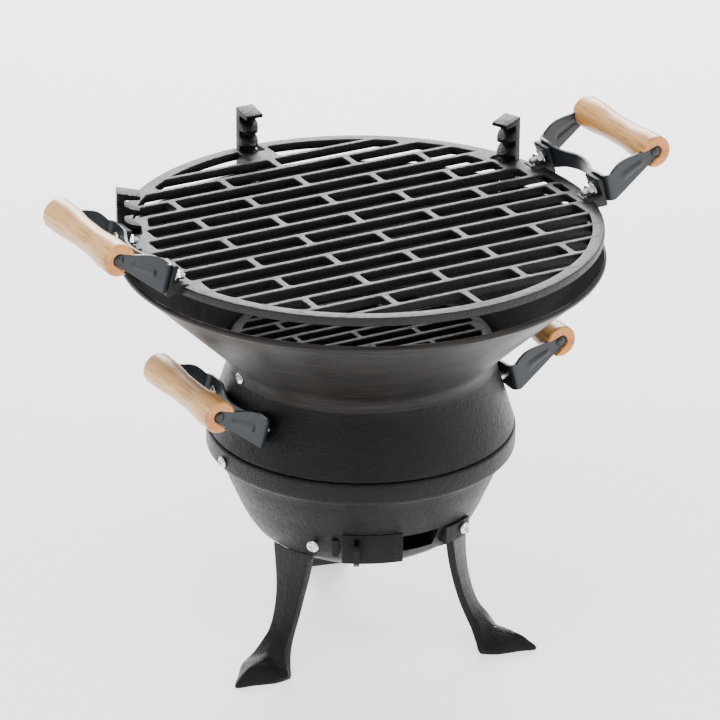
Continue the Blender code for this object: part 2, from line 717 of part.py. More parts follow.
def vent_shutter():
    """Curved sliding plate with an upright finger tab, turned about the grill's axis."""
    low = VENT_FOOT_Z + VENT_WALL + GAP
    high = SHUTTER_TOP_Z
    plate = sector("vent_shutter", [(SHUTTER_R, low), (SHUTTER_R + SHUTTER_THICK, low),
                                    (SHUTTER_R + SHUTTER_THICK, high), (SHUTTER_R, high)],
                   VENT_ANGLE + SHUTTER_FROM, VENT_ANGLE + SHUTTER_TO, 10)
    sill = VENT_FOOT_Z + 0.0046
    tab = sector("tab_block", [(SHUTTER_R + 0.0008, sill), (0.1050, sill), (0.1085, sill + 0.004),
                               (0.1095, sill + 0.0150), (SHUTTER_R + 0.0008, sill + 0.0185)],
                 VENT_ANGLE + SHUTTER_TAB - 1.2, VENT_ANGLE + SHUTTER_TAB + 1.2, 1)
    boolean(plate, as_cutter(tab), "UNION")
    place(plate, "cast_iron")


# ---- legs -----------------------------------------------------------------------
def shin_rings():
    """Cross-sections of the flat shin, square to its line: back edge, sides and low ridge."""
    rings = []
    for r, z, lean, half, thick in LEG_SHIN:
        out = Vector((math.cos(math.radians(lean)), math.sin(math.radians(lean)))) * (thick / 2)
        rings.append(((r - out.x, z - out.y, half), (r + out.x * 0.85, z + out.y * 0.85, half * 0.98),
                      (r + out.x * 1.1, z + out.y * 1.1)))
    return rings


def leg_section(back, side, ridge):
    return [(back[0], -back[2], back[1]), (back[0], back[2], back[1]), (side[0], side[2], side[1]),
            (ridge[0], 0.0, ridge[1]), (side[0], -side[2], side[1])]


def leg_pad(angle):
    """The plate under the bowl that a leg's bolt goes through, as a wedge cut to the bowl later."""
    profile = [(0.0600, 0.1000), (0.0600, 0.0752), (0.0700, 0.0802), (0.0740, 0.0830), (0.0740, 0.1000)]
    return sector("leg_pad", profile, angle - LEG_PAD_HALF, angle + LEG_PAD_HALF, 4)


def legs():
    clearance = [(bowl_radius(z, 0.0004), z - 0.0004) for _, z in BOWL_PROFILE[:-1]]
    inflated = turned("bowl_clearance", [(0.0, 0.1490), *clearance, (0.0, BOWL_FOOT_Z - 0.0005)])
    as_cutter(inflated)
    sections = [leg_section(*ring) for ring in (*shin_rings(), *FOOT_RINGS)]
    for number, angle in enumerate(LEG_ANGLES, 1):
        leg = loft(f"leg_{number}", sections)
        leg.data.transform(Matrix.Rotation(math.radians(angle), 4, "Z"))
        boolean(leg, as_cutter(leg_pad(angle)), "UNION")
        boolean(leg, inflated, "DIFFERENCE")
        boolean(leg, pin_cutter("leg_bore", polar(LEG_BOLT_R, angle, 0.0640),
                                polar(LEG_BOLT_R, angle, 0.1000), BOLT_R + GAP), "DIFFERENCE")
        place(leg, "cast_iron", smooth=False)


# ---- fasteners ------------------------------------------------------------------
def oriented(obj, start, direction):
    """Put a fastener modelled along +Z at a point, with +Z turned to a direction."""
    turn = Vector(direction).normalized().to_track_quat("Z", "Y").to_matrix().to_4x4()
    obj.matrix_world = Matrix.Translation(start) @ turn
    return obj


def headed_pin(name, shank_r, length, head_r, head_h, at, direction):
    """A pan-headed screw or bolt: its head stands on +Z, its shank runs down -Z."""
    profile = [(0.0, head_h), (head_r * 0.55, head_h * 0.96), (head_r * 0.86, head_h * 0.66),
               (head_r, head_h * 0.2), (head_r, 0.0), (shank_r, 0.0), (shank_r, -length), (0.0, -length)]
    return place(oriented(turned(name, profile, PIN_SIDES), at, direction), "zinc")


def hex_nut(name, bore_r, at, direction):
    """A six-sided nut standing on +Z from its seat."""
    nut = flat_plate(name, circle(NUT_R, 6), NUT_H, [circle(bore_r, PIN_SIDES)])
    nut.data.transform(Matrix.Translation((0, 0, NUT_H / 2)))
    return place(oriented(nut, at, direction), "zinc", smooth=False)


def body_fasteners():
    for number, side in enumerate((0.0, 180.0), 1):
        out = polar(1.0, side)
        headed_pin(f"neck_screw_{number}", SCREW_R, 0.0062, SCREW_HEAD_R, SCREW_HEAD_H,
                   polar(NECK_R + 0.0002, side, NECK_SCREW_Z), out)
        headed_pin(f"band_screw_{number}", SCREW_R, 0.0105, SCREW_HEAD_R, SCREW_HEAD_H,
                   polar(COLLAR_R + 0.0002, side, BAND_SCREW_Z), out)
    for number, side in enumerate((-1, 1), 1):
        angle = VENT_ANGLE + side * VENT_EAR_ANGLE
        headed_pin(f"vent_screw_{number}", SCREW_R, 0.0190, SCREW_HEAD_R, SCREW_HEAD_H,
                   polar(VENT_EAR_R + 0.0004, angle, VENT_SCREW_Z), polar(1.0, angle))
        inner = bowl_radius(VENT_SCREW_Z, -CAST_WALL - 0.0037)
        hex_nut(f"vent_nut_{number}", SCREW_R + GAP, polar(inner, angle, VENT_SCREW_Z),
                -polar(1.0, angle))
    for number, angle in enumerate(LEG_ANGLES, 1):
        headed_pin(f"leg_bolt_{number}", BOLT_R, LEG_BOLT_LENGTH, BOLT_HEAD_R, BOLT_HEAD_H,
                   polar(LEG_BOLT_R, angle, LEG_BOLT_Z), Vector((0, 0, 1)))
    for number, angle in enumerate(POST_ANGLES, 1):
        inside, outside = post_bolt_line(angle, -POST_INSET - POST_TAB - GAP, 0.0004)
        axis = outside - inside
        headed_pin(f"post_bolt_{number}", BOLT_R, POST_BOLT_LENGTH, BOLT_HEAD_R, BOLT_HEAD_H,
                   outside, axis)
        hex_nut(f"post_nut_{number}", BOLT_R + GAP, inside, -axis)


# ---- handles ------------------------------------------------------------------------
def smooth_step(t):
    t = min(max(t, 0.0), 1.0)
    return t * t * (3 - 2 * t)


def strap_bow(y):
    """How far the strap stands out from its seat at a distance y from its middle."""
    flat = BOLT_Y - 0.0075
    if abs(y) >= flat:
        return 0.0
    return STRAP_BOW * math.cos(math.pi * y / (2 * flat)) ** 1.3


def bracket_columns():
    """Half of the strap from its middle to an arm's tip, as (x, y, low z, high z)."""
    columns = []
    middle = STRAP / 2
    for i in range(9):
        y = (ARM_Y - BEND_R) * i / 8
        grow = smooth_step((y - 0.016) / 0.020)
        half = STRAP_HALF_HEIGHT + (ARM_HALF_HEIGHT - STRAP_HALF_HEIGHT) * grow
        columns.append((middle + strap_bow(y), y, -half, half))
    for i in range(1, 4):
        turn = math.radians(30 * i)
        columns.append((middle + BEND_R * (1 - math.cos(turn)), ARM_Y - BEND_R + BEND_R * math.sin(turn),
                        -ARM_HALF_HEIGHT, ARM_HALF_HEIGHT))
    start = middle + BEND_R
    for i in range(1, 7):
        share = i / 6
        x = start + (RIVET_OUT - start) * share
        low = -ARM_HALF_HEIGHT + (RIVET_UP - ARM_TIP_R + ARM_HALF_HEIGHT) * share
        arch = ARM_ARCH * math.sin(math.pi * (1 - (1 - share) ** 1.8))
        high = ARM_HALF_HEIGHT + (RIVET_UP + ARM_TIP_R - ARM_HALF_HEIGHT) * share + arch
        columns.append((x, ARM_Y, low, high))
    for degrees in (30, 55, 75):
        turn = math.radians(degrees)
        reach = ARM_TIP_R * math.cos(turn)
        columns.append((RIVET_OUT + ARM_TIP_R * math.sin(turn), ARM_Y, RIVET_UP - reach, RIVET_UP + reach))
    return columns


def bracket_mesh():
    """The bent strap as an open sheet given its thickness, drilled for bolts and rod."""
    half = bracket_columns()
    columns = [(x, -y, low, high) for x, y, low, high in reversed(half[1:])] + half
    work = bmesh.new()
    rows = [[work.verts.new((x, y, low)), work.verts.new((x, y, high))] for x, y, low, high in columns]
    for here, there in zip(rows, rows[1:]):
        work.faces.new((here[0], there[0], there[1], here[1]))
    sheet = from_bmesh("bracket_sheet", work)
    thicken = sheet.modifiers.new("strap", "SOLIDIFY")
    thicken.thickness = STRAP
    thicken.offset = 0.0
    thicken.use_even_offset = True
    for across in (-BOLT_Y, BOLT_Y):
        boolean(sheet, pin_cutter("bracket_hole", (-0.004, across, 0), (0.006, across, 0),
                                  BOLT_R + GAP), "DIFFERENCE")
        side = math.copysign(1.0, across)
        boolean(sheet, pin_cutter("bracket_hole", (RIVET_OUT, side * (ARM_Y - 0.004), RIVET_UP),
                                  (RIVET_OUT, side * (ARM_Y + 0.004), RIVET_UP), ROD_R + GAP),
                "DIFFERENCE")
    return bake(sheet)


def grip_profile():
    """Half of the turned grip, from one end's bore out and along to the other end."""
    bore = ROD_R + GAP
    points = []
    steps = 8
    for i in range(steps + 1):
        s = -1 + 2 * i / steps
        waist = GRIP_WAIST_R + (GRIP_END_R - GRIP_WAIST_R) * smooth_step((abs(s) - 0.15) / 0.65)
        points.append((waist, -s * (GRIP_HALF - 0.0026)))
    ends = [(GRIP_END_R - 0.0004, GRIP_HALF - 0.0010), (GRIP_END_R - 0.0016, GRIP_HALF)]
    start = [(bore, GRIP_HALF), ends[1], ends[0]]
    finish = [(r, -z) for r, z in reversed(start)]
    return [*start, *points, *finish]


def slot_cutter(side):
    """A round-ended slot in one end of the grip, where the arm's tip lies."""
    reach = ARM_TIP_R + 0.0007
    arc = [math.radians(-90 + 180 * i / 8) for i in range(9)]
    outline = [(reach * math.cos(a), reach * math.sin(a)) for a in arc]
    outline += [(-0.020, reach + 0.0046), (-0.020, -reach - 0.0046)]
    deep = GRIP_HALF - ARM_Y + STRAP / 2 + 0.0005
    slot = flat_plate("slot_cutter", outline, deep + 0.004)
    tilt = math.atan2(RIVET_UP, RIVET_OUT)
    slot.data.transform(Matrix.Rotation(-tilt, 4, "Y") @ Matrix.Rotation(math.radians(90), 4, "X"))
    middle = side * (GRIP_HALF - deep + (deep + 0.004) / 2)
    slot.data.transform(Matrix.Translation((RIVET_OUT, middle, RIVET_UP)))
    return as_cutter(slot)


def grip_mesh():
    grip = turned("grip_turning", grip_profile(), 16)
    blank = bpy.data.objects.new("grip_blank", bake(grip))
    blank.data.transform(Matrix.Translation((RIVET_OUT, 0, RIVET_UP)) @ Matrix.Rotation(
        math.radians(90), 4, "X"))
    for side in (-1, 1):
        boolean(blank, slot_cutter(side), "DIFFERENCE")
    return bake(blank)


def rod_mesh():
    """A plain rod with a low rivet head outside each arm."""
    face = ARM_Y + STRAP / 2 + 0.0002
    head_r = ROD_R + 0.0014
    half = [(0.0, face + 0.0014), (head_r * 0.7, face + 0.0012), (head_r, face), (ROD_R, face)]
    profile = [*half, *[(r, -z) for r, z in reversed(half)]]
    rod = bpy.data.objects.new("rod_blank", bake(turned("rod_turning", profile, PIN_SIDES)))
    rod.data.transform(Matrix.Translation((RIVET_OUT, 0, RIVET_UP)) @ Matrix.Rotation(
        math.radians(90), 4, "X"))
    return rod.data


def handles():
    """Four equal handles: a pair on the cooking grate and a pair on the cast ring."""
    bracket = bracket_mesh()
    grip = grip_mesh()
    rod = rod_mesh()
    places = (("grate", GRATE_LUG_X + GAP, GRATE_LUG_Z, LUG_THICK * math.cos(math.radians(LEAN)) + GAP),
              ("body", ring_handle_x() + GAP, RING_HANDLE_Z, RING_NUT_SEAT))
    for group, base_x, base_z, wall in places:
        for side, word in ((-1, "left"), (1, "right")):
            frame = lean_frame(base_x, base_z, side)
            stem = f"{group}_handle_{word}"
            for kind, mesh, finish in (("bracket", bracket, "strap_steel"), ("grip", grip, "wood"),
                                       ("rod", rod, "strap_steel")):
                piece = bpy.data.objects.new(f"{stem}_{kind}", mesh.copy())
                piece.matrix_world = frame
                place(piece, finish)
            out = frame.to_3x3() @ Vector((1, 0, 0))
            for number, across in enumerate((-BOLT_Y, BOLT_Y), 1):
                headed_pin(f"{stem}_bolt_{number}", BOLT_R, wall + STRAP + 0.0100, BOLT_HEAD_R,
                           BOLT_HEAD_H, frame @ Vector((STRAP + 0.0002, across, 0)), out)
                hex_nut(f"{stem}_nut_{number}", BOLT_R + GAP,
                        frame @ Vector((-wall - 0.0004, across, 0)), -out)


cooking_grate()
charcoal_grate()
flared_bowl()
body_ring()
lower_bowl()
posts()
vent_frame()
vent_shutter()
legs()
body_fasteners()
handles()
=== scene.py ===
"""Looks of the round cast-iron hibachi grill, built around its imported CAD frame."""
import math

import bmesh
import bpy
from mathutils import Euler, Matrix, Vector


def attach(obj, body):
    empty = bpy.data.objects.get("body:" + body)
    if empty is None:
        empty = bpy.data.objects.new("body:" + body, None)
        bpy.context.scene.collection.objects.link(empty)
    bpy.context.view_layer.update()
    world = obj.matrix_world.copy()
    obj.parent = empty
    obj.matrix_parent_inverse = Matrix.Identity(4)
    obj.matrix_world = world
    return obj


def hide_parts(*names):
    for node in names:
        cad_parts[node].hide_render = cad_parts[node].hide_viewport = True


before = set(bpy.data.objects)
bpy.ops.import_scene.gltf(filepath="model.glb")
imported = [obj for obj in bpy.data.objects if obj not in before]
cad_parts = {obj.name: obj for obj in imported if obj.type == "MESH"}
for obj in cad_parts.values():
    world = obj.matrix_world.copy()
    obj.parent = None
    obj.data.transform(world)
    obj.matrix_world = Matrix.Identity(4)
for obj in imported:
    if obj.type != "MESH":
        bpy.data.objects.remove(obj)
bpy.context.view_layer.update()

# ---- bodies of the CAD frame ---------------------------------------------------
BASE = "fire_base"
GRATE = "cooking_grate_with_handles"
COALS = "charcoal_grate"
SHUTTER = "vent_shutter"

# ---- sizes shared with the CAD, in metres; angles in degrees ------------------------
# cooking grate
GRATE_TOP = 0.3265
GRATE_DEPTH = 0.0065
GRATE_R = 0.1755
GRATE_RIM_WIDTH = 0.0092
BAR_PITCH = 0.02044
BAR_WIDTH = 0.0044
BARS_EACH_SIDE = 7
CROSS_PITCH = 0.1045
CROSS_WIDTH = 0.0056
POST_PAD_R = 0.1552
POST_PAD_X = 0.1460
BACK_PAD = (-0.0155, 0.0100)
LUG_PAD_X = 0.1600
# charcoal grate
COAL_R = 0.0970
COAL_DEPTH = 0.0060
COAL_RIM_WIDTH = 0.0080
COAL_BAR_PITCH = 0.0134
COAL_BAR_WIDTH = 0.0042
COAL_BARS_EACH_SIDE = 6
COAL_CROSS_PITCH = 0.0850
COAL_TOP_Z = 0.2350
# posts, and the notches in the grate in front of them
POST_ANGLES = (21.5, 91.0, 157.5)
NOTCH_HALF = 0.0082
NOTCH_R = 0.1603
POST_FRONT_R = 0.1727
POST_CORE = 0.0053
POST_TOP_Z = 0.3582
POST_TIP_Z = 0.3552
POST_TAB = 0.0042
POST_INSET = 0.0026
FOOT_TAB = 0.0190
POST_BOLT_ALONG = 0.0100
POST_NECK_R = 0.1731
POST_WIDTH = 0.0138
TOOTH_REACH = 0.0115
TOOTH_ROOT = 0.0072
TOOTH_TIP = 0.0018
TOOTH_PITCH = 0.0118
TOP_TOOTH_Z = 0.3525
TOOTH_COUNT = 4
# flared bowl
RIM_Z = 0.3055
CONE_TOP = Vector((0.1774, 0.3039))
CONE_DOWN = (Vector((0.1004, 0.2292)) - CONE_TOP).normalized()
CONE_OUT = Vector((-CONE_DOWN.y, CONE_DOWN.x))
# handles
LEAN = 15.0
BOLT_Y = 0.0365
STRAP = 0.0022
STRAP_HALF_HEIGHT = 0.0066
STRAP_BOW = 0.0082
ARM_Y = 0.0467
ARM_HALF_HEIGHT = 0.0105
ARM_TIP_R = 0.0045
ARM_ARCH = 0.0042
BEND_R = 0.0045
RIVET_OUT = 0.0455
RIVET_UP = 0.0115
GRIP_HALF = 0.0496
GRIP_END_R = 0.0120
GRIP_WAIST_R = 0.0102
GRATE_LUG_X = 0.1784
GRATE_LUG_Z = 0.3345
LUG_THICK = 0.0055
RING_HANDLE_X = 0.10139
RING_HANDLE_Z = 0.1985
RING_NUT_SEAT = 0.0118
# vent
VENT_ANGLE = 257.0
VENT_HALF = 27.0
VENT_FACE_R = 0.1070
VENT_SPLAY = 0.15
VENT_TOP_Z = 0.1235
VENT_FOOT_Z = 0.0950
VENT_SCREW_Z = 0.1080
VENT_EAR_R = 0.0938
VENT_EAR_ANGLE = 37.5
# legs
LEG_ANGLES = (200.0, 314.0, 77.0)
LEG_SHIN = (  # r, z, lean, half width, thickness
    (0.0738, 0.1000, 4.0, 0.0184, 0.0068), (0.0745, 0.0880, 4.0, 0.0172, 0.0064),
    (0.0760, 0.0700, 7.0, 0.0142, 0.0060), (0.0786, 0.0540, 11.0, 0.0116, 0.0058),
    (0.0830, 0.0380, 18.0, 0.0102, 0.0058), (0.0882, 0.0260, 28.0, 0.0100, 0.0062))
FOOT_RINGS = (  # back or sole r, z, half width, side r, z, half width, ridge r, z
    (0.0905, 0.0160, 0.0120, 0.0965, 0.0196, 0.0112, 0.0980, 0.0205),
    (0.0955, 0.0070, 0.0158, 0.1010, 0.0100, 0.0156, 0.1035, 0.0156),
    (0.1005, 0.0000, 0.0202, 0.1035, 0.0035, 0.0204, 0.1080, 0.0145),
    (0.1120, 0.0000, 0.0180, 0.1120, 0.0033, 0.0177, 0.1140, 0.0132),
    (0.1200, 0.0000, 0.0130, 0.1200, 0.0032, 0.0127, 0.1205, 0.0116),
    (0.1280, 0.0000, 0.0072, 0.1280, 0.0030, 0.0069, 0.1275, 0.0094),
    (0.1342, 0.0000, 0.0040, 0.1340, 0.0028, 0.0036, 0.1328, 0.0056),
    (0.1380, 0.0000, 0.0014, 0.1376, 0.0020, 0.0011, 0.1372, 0.0030))
# fasteners
BOLT_R = 0.0027
BOLT_HEAD = (0.0052, 0.0026)  # radius, height
SCREW_R = 0.0022
SCREW_HEAD = (0.0046, 0.0026)
NUT_BORE = 0.0028
NUT_ACROSS = 0.0086
NECK_SCREW_Z = 0.2237
BAND_SCREW_Z = 0.1600
LEG_BOLT_R = 0.0660
LEG_BOLT_Z = 0.0950
# walls and clearance
SHEET = 0.0016
CAST_WALL = 0.0045
GAP = 0.0003


# ---- node helpers -----------------------------------------------------------------
class Shader:
    """A small builder for one material's node tree."""

    def __init__(self, name, colour, roughness, metallic=0.0):
        self.material = bpy.data.materials.new(name)
        self.material.use_nodes = True
        self.tree = self.material.node_tree
        self.out = self.tree.nodes["Principled BSDF"]
        self.set("Base Color", (*colour, 1.0))
        self.set("Roughness", roughness)
        self.set("Metallic", metallic)

    def set(self, socket, value):
        self.out.inputs[socket].default_value = value

    def node(self, kind, **values):
        made = self.tree.nodes.new(kind)
        for key, value in values.items():
            if hasattr(made, key):
                setattr(made, key, value)
            else:
                made.inputs[key.replace("_", " ")].default_value = value
        return made

    def link(self, source, target):
        self.tree.links.new(source, target)

    def coordinates(self, scale=(1.0, 1.0, 1.0)):
        place = self.node("ShaderNodeTexCoord")
        mapping = self.node("ShaderNodeMapping")
        mapping.inputs["Scale"].default_value = scale
        self.link(place.outputs["Object"], mapping.inputs["Vector"])
        return mapping.outputs["Vector"]

    def noise(self, vector, scale, detail=3.0, roughness=0.55):
        made = self.node("ShaderNodeTexNoise")
        made.inputs["Scale"].default_value = scale
        made.inputs["Detail"].default_value = detail
        made.inputs["Roughness"].default_value = roughness
        self.link(vector, made.inputs["Vector"])
        return made.outputs["Fac"]

    def ramp(self, source, *stops):
        made = self.node("ShaderNodeValToRGB")
        while len(made.color_ramp.elements) < len(stops):
            made.color_ramp.elements.new(0.5)
        for element, (position, colour) in zip(made.color_ramp.elements, stops):
            element.position = position
            element.color = (*colour, 1.0) if len(colour) == 3 else (colour[0],) * 3 + (1.0,)
        self.link(source, made.inputs["Fac"])
        return made.outputs["Color"]

    def bump(self, height, strength, distance, below=None):
        made = self.node("ShaderNodeBump")
        made.inputs["Strength"].default_value = strength
        made.inputs["Distance"].default_value = distance
        self.link(height, made.inputs["Height"])
        if below is not None:
            self.link(below, made.inputs["Normal"])
        return made.outputs["Normal"]


def cast_iron(name, dark, light, roughness, grain, gloss):
    """Black sand-cast skin: cloudy colour and gloss over a coarse and a fine grain."""
    shader = Shader(name, dark, roughness)
    shader.set("Specular IOR Level", gloss)
    place = shader.coordinates()
    broad = shader.noise(place, 28.0, 4.0)
    fine = shader.noise(place, 950.0, 2.0, 0.6)
    coarse = shader.noise(place, 260.0, 3.0, 0.6)
    shader.link(shader.ramp(broad, (0.30, dark), (0.72, light)), shader.out.inputs["Base Color"])
    shader.link(shader.ramp(coarse, (0.25, (roughness - 0.07,)), (0.75, (roughness + 0.10,))),
                shader.out.inputs["Roughness"])
    rough_skin = shader.bump(coarse, 0.35 * grain, 0.0010)
    shader.link(shader.bump(fine, 0.75 * grain, 0.0005, rough_skin), shader.out.inputs["Normal"])
    return shader.material


def spun_sheet():
    """Dark spun steel with brush marks that run round the bowl."""
    shader = Shader("spun_sheet", (0.014, 0.012, 0.0104), 0.40, 0.25)
    shader.set("Specular IOR Level", 0.20)
    place = shader.node("ShaderNodeTexCoord")
    parts = shader.node("ShaderNodeSeparateXYZ")
    shader.link(place.outputs["Object"], parts.inputs["Vector"])
    flat = shader.node("ShaderNodeCombineXYZ")
    shader.link(parts.outputs["X"], flat.inputs["X"])
    shader.link(parts.outputs["Y"], flat.inputs["Y"])
    around = shader.node("ShaderNodeVectorMath", operation="NORMALIZE")
    shader.link(flat.outputs["Vector"], around.inputs[0])
    height = shader.node("ShaderNodeCombineXYZ")
    shader.link(parts.outputs["Z"], height.inputs["Z"])
    streak = shader.node("ShaderNodeVectorMath", operation="MULTIPLY_ADD")
    shader.link(height.outputs["Vector"], streak.inputs[0])
    streak.inputs[1].default_value = (1.0, 1.0, 260.0)
    shader.link(around.outputs["Vector"], streak.inputs[2])
    lines = shader.noise(streak.outputs["Vector"], 2.6, 6.0, 0.65)
    patches = shader.noise(place.outputs["Object"], 16.0, 4.0)
    shader.link(shader.ramp(lines, (0.30, (0.005, 0.0044, 0.0038)), (0.52, (0.014, 0.012, 0.0104)),
                            (0.75, (0.036, 0.030, 0.025))), shader.out.inputs["Base Color"])
    shader.link(shader.ramp(patches, (0.3, (0.34,)), (0.7, (0.52,))), shader.out.inputs["Roughness"])
    shader.link(shader.bump(lines, 0.22, 0.0006), shader.out.inputs["Normal"])
    return shader.material


def painted_steel(name, colour, roughness):
    shader = Shader(name, colour, roughness)
    place = shader.coordinates()
    fine = shader.noise(place, 700.0, 3.0)
    broad = shader.noise(place, 60.0, 3.0)
    lift = tuple(c * 1.7 for c in colour)
    shader.link(shader.ramp(broad, (0.3, colour), (0.75, lift)), shader.out.inputs["Base Color"])
    shader.link(shader.ramp(broad, (0.2, (roughness - 0.06,)), (0.8, (roughness + 0.08,))),
                shader.out.inputs["Roughness"])
    shader.link(shader.bump(fine, 0.18, 0.0004), shader.out.inputs["Normal"])
    return shader.material


def turned_wood(name, pale, mid, dark):
    """Plain turned hardwood: grain along the grip, a few darker lines, redder end grain."""
    shader = Shader(name, mid, 0.42)
    along = shader.coordinates((1.0, 0.07, 1.0))
    grain = shader.noise(along, 420.0, 5.0, 0.62)
    bands = shader.noise(along, 85.0, 3.0)
    blotch = shader.noise(shader.coordinates((1.0, 0.5, 1.0)), 55.0, 3.0)
    mix = shader.node("ShaderNodeMix", data_type="RGBA", blend_type="MULTIPLY")
    mix.inputs["Factor"].default_value = 0.75
    shader.link(shader.ramp(bands, (0.28, mid), (0.62, pale)), mix.inputs[6])
    shader.link(shader.ramp(grain, (0.30, dark), (0.46, (0.88, 0.84, 0.78)), (0.60, (1.0, 1.0, 1.0))),
                mix.inputs[7])
    warm = shader.node("ShaderNodeMix", data_type="RGBA", blend_type="MULTIPLY")
    warm.inputs["Factor"].default_value = 0.6
    shader.link(mix.outputs[2], warm.inputs[6])
    shader.link(shader.ramp(blotch, (0.35, (0.90, 0.78, 0.60)), (0.6, (1.0, 1.0, 1.0))), warm.inputs[7])
    parts = shader.node("ShaderNodeSeparateXYZ")
    shader.link(shader.node("ShaderNodeTexCoord").outputs["Normal"], parts.inputs["Vector"])
    along = shader.node("ShaderNodeMath", operation="ABSOLUTE")
    shader.link(parts.outputs["Y"], along.inputs[0])
    end = shader.node("ShaderNodeMix", data_type="RGBA", blend_type="MULTIPLY")
    end.inputs["Factor"].default_value = 1.0
    shader.link(warm.outputs[2], end.inputs[6])
    shader.link(shader.ramp(along.outputs[0], (0.45, (1.0, 1.0, 1.0)), (0.85, (0.86, 0.62, 0.40))),
                end.inputs[7])
    shader.link(end.outputs[2], shader.out.inputs["Base Color"])
    shader.link(shader.bump(grain, 0.15, 0.0004), shader.out.inputs["Normal"])
    shader.set("Coat Weight", 0.25)
    shader.set("Coat Roughness", 0.25)
    return shader.material


def zinc_plate():
    shader = Shader("zinc_plate", (0.78, 0.79, 0.80), 0.22, 1.0)
    place = shader.coordinates()
    cloud = shader.noise(place, 340.0, 3.0)
    shader.link(shader.ramp(cloud, (0.3, (0.60, 0.61, 0.62)), (0.7, (0.88, 0.88, 0.88))),
                shader.out.inputs["Base Color"])
    shader.link(shader.ramp(cloud, (0.3, (0.16,)), (0.7, (0.34,))), shader.out.inputs["Roughness"])
    shader.link(shader.bump(cloud, 0.10, 0.0003), shader.out.inputs["Normal"])
    return shader.material


MATERIALS = {
    # The iron of the ring, bowls, posts, vent and legs is a darker, less glossy copy of grate_iron: its
    # darker base colour is painted shade on those upright castings.
    "cast_iron": cast_iron("body_iron_painted_shade", (0.0020, 0.0022, 0.0025), (0.0056, 0.0062, 0.0070),
                           0.33, 1.7, 0.17),
    "grate_iron": cast_iron("grate_iron", (0.0030, 0.0034, 0.0038), (0.0075, 0.0084, 0.0094),
                            0.42, 1.4, 0.30),
    "enamelled_sheet": spun_sheet(),
    "strap_steel": painted_steel("slate_paint", (0.0095, 0.0125, 0.0160), 0.36),
    "rivet_steel": painted_steel("black_rivet", (0.006, 0.0062, 0.0065), 0.30),
    "wood_pale": turned_wood("wood_pale", (0.84, 0.50, 0.20), (0.70, 0.34, 0.105),
                             (0.38, 0.20, 0.085)),
    "wood_amber": turned_wood("wood_amber", (0.82, 0.44, 0.145), (0.66, 0.28, 0.060),
                              (0.38, 0.18, 0.065)),
    "zinc": zinc_plate(),
}


# ---- mesh helpers --------------------------------------------------------------------
def new_object(name, work):
    """An unlinked object from a bmesh, with its normals made to point out."""
    bmesh.ops.recalc_face_normals(work, faces=work.faces)
    mesh = bpy.data.meshes.new(name)
    work.to_mesh(mesh)
    work.free()
    return bpy.data.objects.new(name, mesh)


def baked(obj):
    """The same object with its modifiers applied."""
    bpy.context.scene.collection.objects.link(obj)
    graph = bpy.context.evaluated_depsgraph_get()
    mesh = bpy.data.meshes.new_from_object(obj.evaluated_get(graph), depsgraph=graph)
    tidy = bmesh.new()
    tidy.from_mesh(mesh)
    bmesh.ops.remove_doubles(tidy, verts=tidy.verts, dist=2e-6)
    bmesh.ops.dissolve_degenerate(tidy, dist=1e-6, edges=tidy.edges)
    bmesh.ops.recalc_face_normals(tidy, faces=tidy.faces)
    tidy.to_mesh(mesh)
    tidy.free()
    bpy.context.scene.collection.objects.unlink(obj)
    return bpy.data.objects.new(obj.name, mesh)


def combine(obj, operation, *others):
    """Apply exact Booleans with the other objects, one after another."""
    scene = bpy.context.scene.collection
    for other in others:
        scene.objects.link(other)
        step = obj.modifiers.new(operation, "BOOLEAN")
        step.operation = operation
        step.solver = "EXACT"
        step.object = other
    result = baked(obj)
    for other in others:
        bpy.data.objects.remove(other, do_unlink=True)
    return result


def bevelled(obj, width, segments=2, angle=32.0):
    step = obj.modifiers.new("edges", "BEVEL")
    step.width = width
    step.segments = segments
    step.limit_method = "ANGLE"
    step.angle_limit = math.radians(angle)
    step.harden_normals = False
    return baked(obj)


def add(obj, body, finish, *nodes, matrix=None, sharp=38.0):
    """Link a piece, finish it, and let it ride on its body in place of its CAD nodes."""
    bpy.context.scene.collection.objects.link(obj)
    if matrix is not None:
        obj.matrix_world = matrix
    if not obj.data.materials:
        obj.data.materials.append(MATERIALS[finish])
    obj.data.shade_smooth()
    obj.data.set_sharp_from_angle(angle=math.radians(sharp))
    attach(obj, body)
    if nodes:
        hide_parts(*nodes)
    return obj


def polar(radius, degrees, height=0.0):
    angle = math.radians(degrees)
    return Vector((radius * math.cos(angle), radius * math.sin(angle), height))


def rounded(points, radius, steps=3, turn_above=14.0):
    """A closed 2-D outline with its corners rounded off."""
    result = []
    count = len(points)
    for i, point in enumerate(points):
        here = Vector(point)
        back = Vector(points[i - 1]) - here
        ahead = Vector(points[(i + 1) % count]) - here
        if back.length < 1e-7 or ahead.length < 1e-7:
            continue
        turn = math.pi - back.angle(ahead)
        if math.degrees(turn) < turn_above:
            result.append(tuple(here))
            continue
        cut = min(radius * math.tan(turn / 2), 0.46 * back.length, 0.46 * ahead.length)
        start = here + back.normalized() * cut
        end = here + ahead.normalized() * cut
        for k in range(steps + 1):
            t = k / steps
            result.append(tuple(start * (1 - t) ** 2 + here * 2 * t * (1 - t) + end * t * t))
    return result


